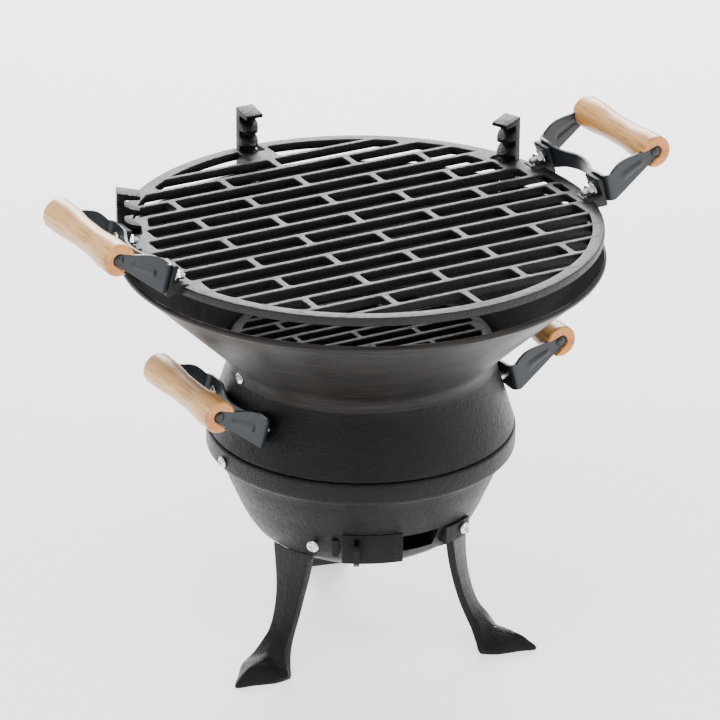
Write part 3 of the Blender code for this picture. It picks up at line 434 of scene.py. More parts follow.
def lathe(name, profile, steps=144, closed=True):
    """Turn a (radius, height) profile about Z; a radius may be a function of the angle."""
    work = bmesh.new()
    rings = []
    for r, z in profile:
        if not callable(r) and r < 1e-7:
            rings.append([work.verts.new((0.0, 0.0, z))])
            continue
        ring = []
        for i in range(steps):
            angle = 2 * math.pi * i / steps
            reach = r(angle) if callable(r) else r
            ring.append(work.verts.new((reach * math.cos(angle), reach * math.sin(angle), z)))
        rings.append(ring)
    pairs = list(zip(rings, rings[1:]))
    if closed:
        pairs.append((rings[-1], rings[0]))
    for a, b in pairs:
        if len(a) == len(b) == 1:
            continue
        for i in range(steps):
            j = (i + 1) % steps
            corners = (a[i % len(a)], a[j % len(a)], b[j % len(b)], b[i % len(b)])
            work.faces.new(tuple(dict.fromkeys(corners)))
    return new_object(name, work)


def sector(name, profile, start, end, steps):
    """A closed (radius, height) profile swept from one azimuth to another, in degrees."""
    work = bmesh.new()
    rings = []
    for i in range(steps + 1):
        angle = start + (end - start) * i / steps
        rings.append([work.verts.new(polar(r, angle, z)) for r, z in profile])
    return close_rings(name, work, rings)


def close_rings(name, work, rings):
    count = len(rings[0])
    for lower, upper in zip(rings, rings[1:]):
        for i in range(count):
            j = (i + 1) % count
            work.faces.new((lower[i], lower[j], upper[j], upper[i]))
    work.faces.new(rings[0])
    work.faces.new(rings[-1])
    return new_object(name, work)


def loft(name, sections):
    work = bmesh.new()
    rings = [[work.verts.new(point) for point in ring] for ring in sections]
    return close_rings(name, work, rings)


def prism(name, outline, depth, matrix=None):
    """A 2-D outline extruded equally to both sides of its plane."""
    work = bmesh.new()
    rings = [[work.verts.new((x, y, z)) for x, y in outline] for z in (-depth / 2, depth / 2)]
    made = close_rings(name, work, rings)
    if matrix is not None:
        made.data.transform(matrix)
    return made


def upright(angle):
    """From a side view in (r, z) to the vertical plane at an azimuth."""
    return Matrix.Rotation(math.radians(angle), 4, "Z") @ Matrix.Rotation(math.radians(90), 4, "X")


def smooth_step(t):
    t = min(max(t, 0.0), 1.0)
    return t * t * (3 - 2 * t)


def offset(profile, distance):
    """Move an open (r, z) profile sideways by a wall thickness, to its inner side."""
    moved = []
    for i, (r, z) in enumerate(profile):
        before = profile[max(i - 1, 0)]
        after = profile[min(i + 1, len(profile) - 1)]
        along = Vector((after[0] - before[0], after[1] - before[1])).normalized()
        moved.append((max(r + along.y * distance, 0.0), z - along.x * distance))
    return moved


# ---- cooking grate and charcoal grate ---------------------------------------------------
def clip(polygon, normal, limit):
    kept = []
    for here, there in zip(polygon, polygon[1:] + polygon[:1]):
        a = here[0] * normal[0] + here[1] * normal[1] - limit
        b = there[0] * normal[0] + there[1] * normal[1] - limit
        if a <= 0:
            kept.append(here)
        if a * b < 0:
            t = a / (a - b)
            kept.append((here[0] + t * (there[0] - here[0]), here[1] + t * (there[1] - here[1])))
    return kept


def clip_to_circle(polygon, radius, steps=120):
    for i in range(steps):
        angle = 2 * math.pi * (i + 0.5) / steps
        polygon = clip(polygon, (math.cos(angle), math.sin(angle)), radius)
        if not polygon:
            break
    return polygon


def area(polygon):
    pairs = zip(polygon, polygon[1:] + polygon[:1])
    return 0.5 * sum(a[0] * b[1] - b[0] * a[1] for a, b in pairs)


def slots(inner_r, pitch, width, bars, cross_pitch, cross_width, pads=(), back_pad=None, smallest=4e-5):
    """Openings between parallel bars, cut into brick-bond cells by short cross pieces.

    A back pad is the span of x left solid behind the last bar instead of cross pieces.
    """
    found = []
    for row in range(-bars - 1, bars + 1):
        low = row * pitch + width / 2 if row > -bars - 1 else -inner_r
        high = (row + 1) * pitch - width / 2 if row < bars else inner_r
        shift = 0.5 * (row % 2)
        spans = [((column + shift) * cross_pitch + cross_width / 2,
                  (column + 1 + shift) * cross_pitch - cross_width / 2) for column in range(-4, 4)]
        if row == bars and back_pad:
            spans = [(-inner_r, back_pad[0]), (back_pad[1], inner_r)]
        for left, right in spans:
            cell = clip_to_circle([(left, low), (right, low), (right, high), (left, high)], inner_r)
            for rows, normal, limit in pads:
                if cell and rows[0] <= row <= rows[1]:
                    cell = clip(cell, normal, limit)
            if len(cell) > 2 and area(cell) > smallest:
                found.append(cell)
    return found


def grate_outline(inset):
    """The grate's edge, a circle with a square notch in front of each post, drawn in a little."""
    outline = []
    radius = GRATE_R - inset
    half = NOTCH_HALF + inset
    half_turn = math.degrees(math.asin(half / radius))
    stops = [angle + side * half_turn for angle in POST_ANGLES for side in (-1, 1)]
    spans = list(zip(stops[1::2], stops[2::2] + [stops[0] + 360.0]))
    for post, (start, end) in zip(POST_ANGLES, spans):
        across = polar(1.0, post + 90.0)
        for side in (-1, 1):
            corner = polar(NOTCH_R - inset, post) + side * half * across
            outline.append((corner.x, corner.y))
        steps = round(180 * (end - start) / 360.0)
        for i in range(steps + 1):
            point = polar(radius, start + (end - start) * i / steps)
            outline.append((point.x, point.y))
    return outline


def grate_pads():
    pads = []
    for post in (POST_ANGLES[0], POST_ANGLES[2]):
        out = polar(1.0, post)
        pads.append(((3, 3), (out.x, out.y), POST_PAD_R))
    for side in (-1, 1):
        pads.append(((2, 2), (side, 0.0), POST_PAD_X))
        pads.append(((-2, -2), (side, 0.0), LUG_PAD_X))
        pads.append(((1, 1), (side, 0.0), LUG_PAD_X))
    return pads


def cast_plate(name, outline, openings, top, depth, edge, corner):
    """A flat casting: filled outline with rounded-corner openings and rolled edges."""
    curve = bpy.data.curves.new(name, "CURVE")
    curve.dimensions = "2D"
    curve.fill_mode = "BOTH"
    curve.extrude = depth / 2 - edge
    curve.bevel_depth = edge
    curve.bevel_resolution = 2
    loops = [rounded(outline, 2 * edge, 3, 30.0)] + [rounded(cell, corner, 4, 20.0) for cell in openings]
    for loop in loops:
        spline = curve.splines.new("POLY")
        spline.points.add(len(loop) - 1)
        for point, (x, y) in zip(spline.points, loop):
            point.co = (x, y, 0.0, 1.0)
        spline.use_cyclic_u = True
    made = baked(bpy.data.objects.new(name, curve))
    made.data.transform(Matrix.Translation((0, 0, top - depth / 2)))
    return made


def lug(side, across):
    """A cast ear with a round boss for one handle bolt, on a sloping foot."""
    rise = math.tan(math.radians(LEAN))
    foot = GRATE_TOP - GRATE_LUG_Z - GRATE_DEPTH + 0.0006
    profile = [(-0.0150, foot), (-foot * rise, foot), (-0.0082 * rise, 0.0082),
               (-0.0082 * rise - LUG_THICK, 0.0082), (-foot * rise - LUG_THICK, foot + 0.0086),
               (-0.0150, foot + 0.0066)]
    place = Matrix.Translation((GRATE_LUG_X, across, GRATE_LUG_Z))
    turn = Matrix.Rotation(0.0 if side > 0 else math.pi, 4, "Z")
    ear = prism("lug", rounded(profile, 0.0014, 2), 0.0176,
                turn @ place @ Matrix.Rotation(math.radians(90), 4, "X"))
    return bevelled(ear, 0.0010, 2, 50.0)


def grates():
    edge = 0.0009
    cells = slots(GRATE_R - GRATE_RIM_WIDTH + edge, BAR_PITCH, BAR_WIDTH - 2 * edge, BARS_EACH_SIDE,
                  CROSS_PITCH, CROSS_WIDTH - 2 * edge, grate_pads(),
                  (BACK_PAD[0] + edge, BACK_PAD[1] - edge))
    plate = cast_plate("cooking_grate", grate_outline(edge), cells, GRATE_TOP, GRATE_DEPTH, edge, 0.0034)
    ears = [lug(side, across) for side in (-1, 1) for across in (-BOLT_Y, BOLT_Y)]
    plate = combine(plate, "UNION", *ears)
    plate.name = "cooking_grate_casting"
    add(plate, GRATE, "grate_iron", "cooking_grate", sharp=50.0)
    edge = 0.0007
    cells = slots(COAL_R - COAL_RIM_WIDTH + edge, COAL_BAR_PITCH, COAL_BAR_WIDTH - 2 * edge,
                  COAL_BARS_EACH_SIDE, COAL_CROSS_PITCH, COAL_BAR_WIDTH - 2 * edge, smallest=2e-5)
    rim = [polar(COAL_R - edge, 2.0 * i)[:2] for i in range(180)]
    coals = cast_plate("charcoal_grate_casting", rim, cells, COAL_TOP_Z, COAL_DEPTH, edge, 0.0022)
    add(coals, COALS, "grate_iron", "charcoal_grate", sharp=50.0)


# ---- bowls -----------------------------------------------------------------------------------
def flared_bowl():
    outer = [(0.1760, 0.3054), (0.1770, 0.3048), (0.1774, 0.3038), (0.1773, 0.3022), (0.1766, 0.3010),
             (0.1752, 0.3001), (0.1738, 0.2992), (0.1726, 0.2980)]
    outer += [(0.1115 + (0.1726 - 0.1115) * (1 - t), 0.2400 + (0.2980 - 0.2400) * (1 - t))
              for t in (i / 10 for i in range(1, 11))]
    outer += [(0.1082, 0.2366), (0.1052, 0.2334), (0.1028, 0.2302), (0.1011, 0.2270), (0.1002, 0.2240),
              (0.0998, 0.2212), (0.0998, 0.2192)]
    inner = offset(outer, SHEET)
    inner[0] = (0.1746, 0.3050)
    inner[1] = (0.1742, 0.3042)
    bowl = lathe("flared_bowl_sheet", [*outer, (0.0991, 0.2190), *reversed(inner)], 180)
    bowl.data.materials.append(MATERIALS["enamelled_sheet"])
    add(bowl, BASE, "enamelled_sheet", "flared_bowl", sharp=60.0)


RING_PROFILE = [(0.0950, 0.2287), (0.0978, 0.2287), (0.0979, 0.2187), (0.1012, 0.2090),
                (0.1046, 0.1985), (0.1080, 0.1885), (0.1110, 0.1790), (0.1132, 0.1718),
                (0.1130, 0.1704), (0.1094, 0.1703), (0.1094, 0.1526), (0.1050, 0.1526),
                (0.1057, 0.1700), (0.0934, 0.2150), (0.0934, 0.2287)]


def body_ring():
    ring = lathe("body_ring_casting", rounded(RING_PROFILE[1:], 0.0010, 3, 20.0), 180)
    add(ring, BASE, "cast_iron", "body_ring", sharp=60.0)


BOWL_PROFILE = [(0.1050, 0.1490), (0.1032, 0.1425), (0.1010, 0.1360), (0.0982, 0.1290),
                (0.0950, 0.1220), (0.0922, 0.1150), (0.0889, 0.1080), (0.0849, 0.1004),
                (0.0799, 0.0931), (0.0742, 0.0885), (0.0679, 0.0845), (0.0595, 0.0798),
                (0.0500, 0.0754), (0.0390, 0.0716), (0.0270, 0.0685), (0.0140, 0.0667), (0.0, 0.0661)]


def bowl_radius(height, clearance=0.0):
    for (r0, z0), (r1, z1) in zip(BOWL_PROFILE, BOWL_PROFILE[1:]):
        if z1 <= height <= z0:
            return r1 + (r0 - r1) * (height - z1) / (z0 - z1) + clearance
    return BOWL_PROFILE[0][0] + clearance


def lower_bowl():
    collar = [(0.1101, 0.1699), (0.1128, 0.1700), (0.1138, 0.1695), (0.1144, 0.1684), (0.1145, 0.1670),
              (0.1145, 0.1560), (0.1141, 0.1545), (0.1130, 0.1530), (0.1100, 0.1512), (0.1070, 0.1502)]
    inner = offset(BOWL_PROFILE, CAST_WALL)
    inner[-1] = (0.0, 0.0705)
    loop = [*collar, *BOWL_PROFILE, *reversed(inner[:-1]), (0.1005, 0.1510), (0.1100, 0.1514)]
    loop.insert(len(collar) + len(BOWL_PROFILE), (0.0, 0.0705))
    bowl = lathe("lower_bowl_casting", loop, 180)
    port = sector("port", [(0.075, 0.1000), (0.110, 0.1000), (0.110, 0.1160), (0.075, 0.1160)],
                  VENT_ANGLE + 3.0, VENT_ANGLE + 22.0, 10)
    bowl = combine(bowl, "DIFFERENCE", port)
    bowl.name = "lower_bowl_casting"
    add(bowl, BASE, "cast_iron", "lower_bowl", sharp=50.0)


# ---- posts ------------------------------------------------------------------------------------
def cone_point(along, out=0.0):
    """A point (r, z) a distance down the cone from its rim, and outwards from its outer face."""
    return (CONE_TOP + along * CONE_DOWN + out * CONE_OUT)[:]


def post_profile():
    """Side view of a post as (r, z): flat top plate, toothed front, and a tab inside the cone."""
    back = POST_FRONT_R + POST_CORE
    tip = POST_FRONT_R - TOOTH_REACH
    front = [(tip, POST_TIP_Z)]
    for i in range(TOOTH_COUNT):
        under = TOP_TOOTH_Z - i * TOOTH_PITCH
        if i > 0:
            front += [(POST_FRONT_R, under + TOOTH_ROOT), (tip, under + TOOTH_TIP)]
        front += [(tip, under), (POST_FRONT_R, under)]
    depth = POST_INSET + POST_TAB
    tab_top = cone_point((CONE_TOP.x - depth * CONE_OUT.x - POST_FRONT_R) / -CONE_DOWN.x, -depth)
    neck = cone_point((CONE_TOP.x - POST_INSET * CONE_OUT.x - POST_NECK_R) / -CONE_DOWN.x, -POST_INSET)
    return [(back, POST_TOP_Z), *front, tab_top, cone_point(FOOT_TAB, -depth),
            cone_point(FOOT_TAB, -POST_INSET), neck, (POST_NECK_R, RIM_Z + GAP), (back, RIM_Z + GAP)]


def posts():
    half = 0.5 * POST_WIDTH
    shares = ((0.05, 1.0), (0.35, 0.94), (0.62, 0.76), (0.82, 0.54), (0.94, 0.32), (1.0, 0.12))
    tongue = [(POST_FRONT_R - TOOTH_REACH * share, half * width) for share, width in shares]
    back = POST_FRONT_R + 0.0080
    plan = [(back, -half), (back, half), *tongue, *[(x, -y) for x, y in reversed(tongue)]]
    plate_z = TOP_TOOTH_Z - 0.0015
    for number, angle in enumerate(POST_ANGLES, 1):
        name = f"height_post_{number}"
        side_view = prism(name, rounded(post_profile(), 0.0006, 2, 25.0), POST_WIDTH, upright(0.0))
        teeth = prism("teeth", plan, plate_z - RIM_Z, Matrix.Translation((0, 0, (plate_z + RIM_Z) / 2)))
        square = [(0.150, -half), (back, -half), (back, half), (0.150, half)]
        plate = prism("plate", square, 0.02, Matrix.Translation((0, 0, plate_z + 0.01)))
        foot = prism("foot", square, 0.04, Matrix.Translation((0, 0, RIM_Z - 0.016)))
        envelope = combine(teeth, "UNION", plate, foot)
        post = combine(side_view, "INTERSECT", envelope)
        post = bevelled(post, 0.0005, 2, 40.0)
        post.name = f"{name}_casting"
        post.data.transform(Matrix.Rotation(math.radians(angle), 4, "Z"))
        add(post, BASE, "cast_iron", name, sharp=40.0)


# ---- vent ---------------------------------------------------------------------------------------
def splayed(obj):
    """Widen a vent block towards the bowl, so that its cheeks lean outwards."""
    deep_r = bowl_radius(VENT_TOP_Z)
    for vertex in obj.data.vertices:
        point = vertex.co
        radius = math.hypot(point.x, point.y)
        turn = math.remainder(math.degrees(math.atan2(point.y, point.x)) - VENT_ANGLE, 360.0)
        share = (VENT_FACE_R - radius) / (VENT_FACE_R - deep_r)
        turn *= 1.0 + VENT_SPLAY * min(max(share, 0.0), 1.0)
        vertex.co = polar(radius, VENT_ANGLE + turn, point.z)
    return obj


def vent():
    hood = VENT_TOP_Z + 0.0095
    low = VENT_FOOT_Z
    levels = [low, 0.0990, 0.1040, 0.1080, 0.1150, 0.1220, 0.1280, hood]
    back = [(bowl_radius(z, 0.0003), z) for z in levels]
    front = [(0.1058, VENT_TOP_Z + 0.0012), (0.1070, VENT_TOP_Z + 0.0004), (0.1074, VENT_TOP_Z - 0.0012),
             (0.1066, VENT_TOP_Z - 0.0026), (0.1008, low + 0.0012), (0.1000, low)]
    shell = splayed(sector("vent_frame", [*back, *front], VENT_ANGLE - VENT_HALF,
                           VENT_ANGLE + VENT_HALF, 36))
    cavity = [(0.070, low + 0.0030), (0.0975, low + 0.0030), (0.1040, VENT_TOP_Z - 0.0018),
              (0.0965, hood - 0.0055), (0.070, hood - 0.0055)]
    inner_half = VENT_HALF - 1.6
    hollow = splayed(sector("hollow", cavity, VENT_ANGLE - inner_half, VENT_ANGLE + inner_half, 36))
    sill, head = low + 0.0040, VENT_TOP_Z - 0.0050
    window = sector("window", [(0.090, sill), (0.115, sill), (0.115, head), (0.090, head)],
                    VENT_ANGLE - 24.0, VENT_ANGLE + 24.0, 32)
    shell = combine(shell, "DIFFERENCE", hollow, window)
    ears = []
    for side in (-1, 1):
        heights = [VENT_SCREW_Z - 0.0070, VENT_SCREW_Z, VENT_SCREW_Z + 0.0070]
        inner = [(bowl_radius(z, 0.0003), z) for z in heights]
        outer = [(VENT_EAR_R, heights[2] - 0.0006), (VENT_EAR_R, heights[0] + 0.0006)]
        spans = sorted((VENT_ANGLE + side * (VENT_HALF - 1.0), VENT_ANGLE + side * (VENT_EAR_ANGLE + 4.6)))
        ears.append(sector("ear", [*inner, *outer], spans[0], spans[1], 10))
    shell = combine(shell, "UNION", *ears)
    shell = bevelled(shell, 0.0005, 2, 40.0)
    shell.name = "vent_frame_casting"
    add(shell, BASE, "cast_iron", "vent_frame", sharp=40.0)

    bottom = low + 0.0033
    plate = sector("shutter", [(0.0955, bottom), (0.0971, bottom), (0.0971, 0.1210), (0.0955, 0.1210)],
                   VENT_ANGLE - 24.0, VENT_ANGLE + 2.5, 30)
    foot = low + 0.0046
    blade = rounded([(0.0963, foot), (0.1045, foot), (0.1085, foot + 0.004), (0.1095, foot + 0.0150),
                     (0.1075, foot + 0.0178), (0.0963, foot + 0.0185)], 0.0018, 4)
    tab = sector("tab", blade, VENT_ANGLE - 17.6 - 1.15, VENT_ANGLE - 17.6 + 1.15, 4)
    plate = bevelled(combine(plate, "UNION", tab), 0.0004, 2, 40.0)
    plate.name = "vent_shutter_plate"
    add(plate, SHUTTER, "cast_iron", "vent_shutter", sharp=40.0)


# ---- legs ---------------------------------------------------------------------------------------
def leg_stations():
    """Every cross-section of a leg as eight numbers, from the shin's top to the toe."""
    stations = []
    for r, z, lean, half, thick in LEG_SHIN:
        out = Vector((math.cos(math.radians(lean)), math.sin(math.radians(lean)))) * thick / 2
        stations.append((r - out.x, z - out.y, half, r + 0.85 * out.x, z + 0.85 * out.y, 0.98 * half,
                         r + 1.1 * out.x, z + 1.1 * out.y))
    return [*stations, *FOOT_RINGS]


def smoothed(stations, steps=4):
    """Cross-sections filled in along smooth curves through the given ones."""
    filled = []
    last = len(stations) - 1
    for i in range(last):
        points = [Vector(stations[min(max(i + k, 0), last)]) for k in (-1, 0, 1, 2)]
        for k in range(steps):
            t = k / steps
            mixed = 0.5 * ((2 * points[1]) + (points[2] - points[0]) * t
                           + (2 * points[0] - 5 * points[1] + 4 * points[2] - points[3]) * t * t
                           + (3 * points[1] - points[0] - 3 * points[2] + points[3]) * t ** 3)
            filled.append(mixed)
    return [*filled, Vector(stations[-1])]


def leg_section(station):
    """Flat back, two short sides, and a front that swells to a ridge."""
    back_r, back_z, back_half, side_r, side_z, side_half, ridge_r, ridge_z = station
    front = []
    for share in (1.0, 0.7, 0.4, 0.15, 0.0):
        mix = share ** 1.25
        front.append((ridge_r + (side_r - ridge_r) * mix, side_half * share,
                      ridge_z + (side_z - ridge_z) * mix))
    ring = [(back_r, -back_half, back_z), (back_r, back_half, back_z), *front,
            *[(x, -y, z) for x, y, z in reversed(front[:-1])]]
    return [(x, y, max(z, 0.0)) for x, y, z in ring]


def legs():
    sections = [leg_section(station) for station in smoothed(leg_stations())]
    pad_view = [(0.0600, 0.1000), (0.0600, 0.0752), (0.0700, 0.0802), (0.0740, 0.0830), (0.0740, 0.1000)]
    for number, angle in enumerate(LEG_ANGLES, 1):
        name = f"leg_{number}"
        pad = sector("pad", pad_view, -5.0, 5.0, 4)
        leg = combine(loft(name, sections), "UNION", pad)
        inner = [(0.0, 0.1480)] + [(bowl_radius(z, 0.0003), z - 0.0002) for _, z in BOWL_PROFILE[:-1]]
        clearance = lathe("clearance", [*inner, (0.0, 0.0655)], 96, False)
        leg = combine(leg, "DIFFERENCE", clearance)
        leg = bevelled(leg, 0.0005, 2, 48.0)
        leg.name = f"{name}_casting"
        leg.data.transform(Matrix.Rotation(math.radians(angle), 4, "Z"))
        add(leg, BASE, "cast_iron", name, sharp=45.0)


# ---- fasteners ------------------------------------------------------------------------------------
def screw_thread(radius, pitch, z, start, end):
    """Radius of a threaded shank at a height, as a function of the angle."""
    depth = pitch * 0.42
    taper = min(1.0, (z - end) / (pitch * 1.2))

    def reach(angle):
        share = (z / pitch - angle / (2 * math.pi)) % 1.0
        ridge = 1.0 - abs(2.0 * share - 1.0)
        return radius - depth * (1.0 - min(1.0, 1.25 * ridge)) - (1.0 - taper) * depth
    return reach if z < start else radius


def pan_bolt(name, radius, length, head_r, head_h, threaded):
    """Cross-recess pan head on +Z, shank down -Z, with a cut thread on its far part."""
    pitch = 0.00085
    profile = [(0.0, head_h), (head_r * 0.30, head_h * 0.985), (head_r * 0.56, head_h * 0.93),
               (head_r * 0.78, head_h * 0.80), (head_r * 0.92, head_h * 0.60),
               (head_r * 0.985, head_h * 0.36), (head_r, head_h * 0.12), (head_r * 0.97, 0.0),
               (radius, 0.0)]
    z = -length + threaded
    profile.append((radius, z + pitch))
    steps = round(threaded / pitch * 6)
    for i in range(steps + 1):
        height = z - threaded * i / steps
        profile.append((screw_thread(radius, pitch, height, z, -length), height))
    profile.append((0.0, -length))
    bolt = lathe(name, profile, 24, False)
    arm = head_r * 0.62
    slot = head_r * 0.15
    for a, b in ((arm, slot), (slot, arm)):
        deep = head_h * 0.45
        cut = loft("recess", [[(-a * s, -b * s, h), (a * s, -b * s, h), (a * s, b * s, h),
                               (-a * s, b * s, h)] for s, h in ((0.72, deep), (1.0, head_h * 1.2))])
        bolt = combine(bolt, "DIFFERENCE", cut)
    bolt.name = name
    return bolt.data


def hex_nut(name, bore, across, height):
    """A six-sided nut with both rims chamfered, its bore slightly wider than the bolt."""
    half = across / 2

    def flat(angle):
        return half / math.cos((angle % (math.pi / 3)) - math.pi / 6)

    def corner(share):
        return lambda angle: half * 0.985 + (flat(angle) - half * 0.985) * share
    drop = height * 0.10
    profile = [(bore, 0.0), (half * 0.985, 0.0), (corner(1.0), drop), (corner(1.0), height - drop),
               (half * 0.985, height), (bore + 0.0003, height), (bore, height - 0.0003)]
    return lathe(name, profile, 48).data


def washer(name, bore, outer, thick):
    ring = rounded([(bore, 0.0), (outer, 0.0), (outer, thick), (bore, thick)], thick * 0.3, 2)
    return lathe(name, ring, 40).data


def aim(point, direction):
    turn = Vector(direction).normalized().to_track_quat("Z", "Y").to_matrix().to_4x4()
    return Matrix.Translation(point) @ turn


def fastener(name, mesh, body, matrix, *nodes, finish="zinc"):
    add(bpy.data.objects.new(name, mesh), body, finish, *nodes, matrix=matrix, sharp=32.0)


def body_fasteners():
    short = pan_bolt("short_screw", SCREW_R, 0.0062, *SCREW_HEAD, 0.0040)
    band = pan_bolt("band_screw", SCREW_R, 0.0105, *SCREW_HEAD, 0.0060)
    long = pan_bolt("vent_screw", SCREW_R, 0.0190, *SCREW_HEAD, 0.0090)
    small_nut = hex_nut("small_nut", 0.0023, 0.0080, 0.0038)
    post_bolt = pan_bolt("post_bolt", BOLT_R, 0.0125, *BOLT_HEAD, 0.0080)
    leg_bolt = pan_bolt("leg_bolt", BOLT_R, 0.0160, *BOLT_HEAD, 0.0080)
    nut = hex_nut("nut", NUT_BORE, NUT_ACROSS, 0.0040)
    for number, side in enumerate((0.0, 180.0), 1):
        out = polar(1.0, side)
        fastener(f"neck_screw_{number}_zinc", short, BASE, aim(polar(0.1000, side, NECK_SCREW_Z), out),
                 f"neck_screw_{number}")
        fastener(f"band_screw_{number}_zinc", band, BASE, aim(polar(0.1147, side, BAND_SCREW_Z), out),
                 f"band_screw_{number}")
    for number, side in enumerate((-1, 1), 1):
        angle = VENT_ANGLE + side * VENT_EAR_ANGLE
        out = polar(1.0, angle)
        face = polar(VENT_EAR_R + 0.0002, angle, VENT_SCREW_Z)
        fastener(f"vent_screw_{number}_zinc", long, BASE, aim(face, out), f"vent_screw_{number}")
        seat = bowl_radius(VENT_SCREW_Z, -CAST_WALL - 0.0037)
        fastener(f"vent_nut_{number}_zinc", small_nut, BASE, aim(polar(seat, angle, VENT_SCREW_Z), -out),
                 f"vent_nut_{number}")
    for number, angle in enumerate(LEG_ANGLES, 1):
        fastener(f"leg_bolt_{number}_zinc", leg_bolt, BASE,
                 aim(polar(LEG_BOLT_R, angle, LEG_BOLT_Z), (0, 0, 1)), f"leg_bolt_{number}")
    for number, angle in enumerate(POST_ANGLES, 1):
        inside = cone_point(POST_BOLT_ALONG, -POST_INSET - POST_TAB - GAP)
        outside = cone_point(POST_BOLT_ALONG, 0.0004)
        a, b = polar(inside[0], angle, inside[1]), polar(outside[0], angle, outside[1])
        fastener(f"post_bolt_{number}_zinc", post_bolt, BASE, aim(b, b - a), f"post_bolt_{number}")
        fastener(f"post_nut_{number}_zinc", nut, BASE, aim(a, a - b), f"post_nut_{number}")


# ---- handles ----------------------------------------------------------------------------------------
def strap_half():
    """Half of the strap as (x, y, normal x, normal y, low z, high z, share along the arm)."""
    path = []
    middle = STRAP / 2
    flat = BOLT_Y - 0.0075
    for i in range(33):
        y = (ARM_Y - BEND_R) * i / 32
        bow = STRAP_BOW * math.cos(math.pi * y / (2 * flat)) ** 1.3 if abs(y) < flat else 0.0
        half = STRAP_HALF_HEIGHT + (ARM_HALF_HEIGHT - STRAP_HALF_HEIGHT) * smooth_step((y - 0.016) / 0.020)
        path.append((middle + bow, y, -half, half, -1.0))
    for i in range(1, 9):
        turn = math.radians(90 * i / 8)
        path.append((middle + BEND_R * (1 - math.cos(turn)), ARM_Y - BEND_R + BEND_R * math.sin(turn),
                     -ARM_HALF_HEIGHT, ARM_HALF_HEIGHT, -1.0))
    start = middle + BEND_R
    for i in range(1, 33):
        share = i / 32
        low = -ARM_HALF_HEIGHT + (RIVET_UP - ARM_TIP_R + ARM_HALF_HEIGHT) * share
        arch = ARM_ARCH * math.sin(math.pi * (1 - (1 - share) ** 1.8))
        high = ARM_HALF_HEIGHT + (RIVET_UP + ARM_TIP_R - ARM_HALF_HEIGHT) * share + arch
        path.append((start + (RIVET_OUT - start) * share, ARM_Y, low, high, share))
    for degrees in (12, 24, 36, 48, 60, 70, 79, 86):
        turn = math.radians(degrees)
        reach = ARM_TIP_R * math.cos(turn)
        path.append((RIVET_OUT + ARM_TIP_R * math.sin(turn), ARM_Y, RIVET_UP - reach, RIVET_UP + reach, 1.2))
    return path


def emboss(share, across):
    """Height of the pressed rib at a place on the arm."""
    along = smooth_step((share - 0.20) / 0.07) * smooth_step((0.74 - share) / 0.07)
    return 0.0010 * along * smooth_step((0.15 - abs(across - 0.46)) / 0.09)


def bracket_mesh():
    half = strap_half()
    columns = [(x, -y, low, high, share) for x, y, low, high, share in reversed(half[1:])] + half
    rows = 16
    work = bmesh.new()
    grid = []
    for x, y, low, high, share in columns:
        side = math.copysign(1.0, y)
        line = []
        for k in range(rows + 1):
            across = k / rows
            lift = emboss(share, across) if 0.0 <= share <= 1.0 else 0.0
            line.append(work.verts.new((x, y + side * lift, low + (high - low) * across)))
        grid.append(line)
    for here, there in zip(grid, grid[1:]):
        for k in range(rows):
            work.faces.new((here[k], there[k], there[k + 1], here[k + 1]))
    sheet = new_object("bracket", work)
    thicken = sheet.modifiers.new("strap", "SOLIDIFY")
    thicken.thickness = STRAP
    thicken.offset = 0.0
    thicken.use_even_offset = True
    edges = sheet.modifiers.new("edges", "BEVEL")
    edges.width = 0.0005
    edges.segments = 2
    edges.limit_method = "ANGLE"
    edges.angle_limit = math.radians(55)
    return baked(sheet).data


def grip_mesh():
    """Turned grip with flat ends and a round-ended slot cut in each end."""
    bore = 0.0027
    edge = 0.0016
    body = []
    for i in range(29):
        s = -1 + 2 * i / 28
        waist = GRIP_WAIST_R + (GRIP_END_R - GRIP_WAIST_R) * smooth_step((abs(s) - 0.15) / 0.65)
        body.append((waist, -s * (GRIP_HALF - 0.0022)))
    cap = [(bore, GRIP_HALF - 0.0006), (bore + 0.0006, GRIP_HALF)]
    for i in range(7):
        turn = math.radians(90 * i / 6)
        cap.append((GRIP_END_R - edge + edge * math.sin(turn), GRIP_HALF - edge + edge * math.cos(turn)))
    profile = [*cap, *body, *[(r, -z) for r, z in reversed(cap)]]
    grip = lathe("grip", profile, 64)
    place = Matrix.Translation((RIVET_OUT, 0, RIVET_UP))
    grip.data.transform(place @ Matrix.Rotation(math.radians(90), 4, "X"))
    reach = ARM_TIP_R + 0.0006
    arc = [math.radians(-90 + 180 * i / 20) for i in range(21)]
    outline = [(reach * math.cos(a), reach * math.sin(a)) for a in arc]
    outline += [(-0.020, reach + 0.0046), (-0.020, -reach - 0.0046)]
    deep = GRIP_HALF - ARM_Y + STRAP / 2 + 0.0005
    tilt = math.atan2(RIVET_UP, RIVET_OUT)
    cutters = []
    for side in (-1, 1):
        middle = side * (GRIP_HALF - deep + (deep + 0.004) / 2)
        cutters.append(prism("slot", outline, deep + 0.004,
                             Matrix.Translation((RIVET_OUT, middle, RIVET_UP))
                             @ Matrix.Rotation(-tilt, 4, "Y") @ Matrix.Rotation(math.radians(90), 4, "X")))
    grip = combine(grip, "DIFFERENCE", *cutters)
    return bevelled(grip, 0.0004, 2, 50.0).data


def rod_mesh():
    face = ARM_Y + STRAP / 2 + 0.0002
    radius, head = 0.0024, 0.0040
    half = [(0.0, face + 0.0016), (head * 0.45, face + 0.00145), (head * 0.78, face + 0.0010),
            (head * 0.96, face + 0.0004), (head, face), (radius, face)]
    rod = lathe("rod", [*half, *[(r, -z) for r, z in reversed(half)]], 32, False)
    place = Matrix.Translation((RIVET_OUT, 0, RIVET_UP))
    rod.data.transform(place @ Matrix.Rotation(math.radians(90), 4, "X"))
    return rod.data


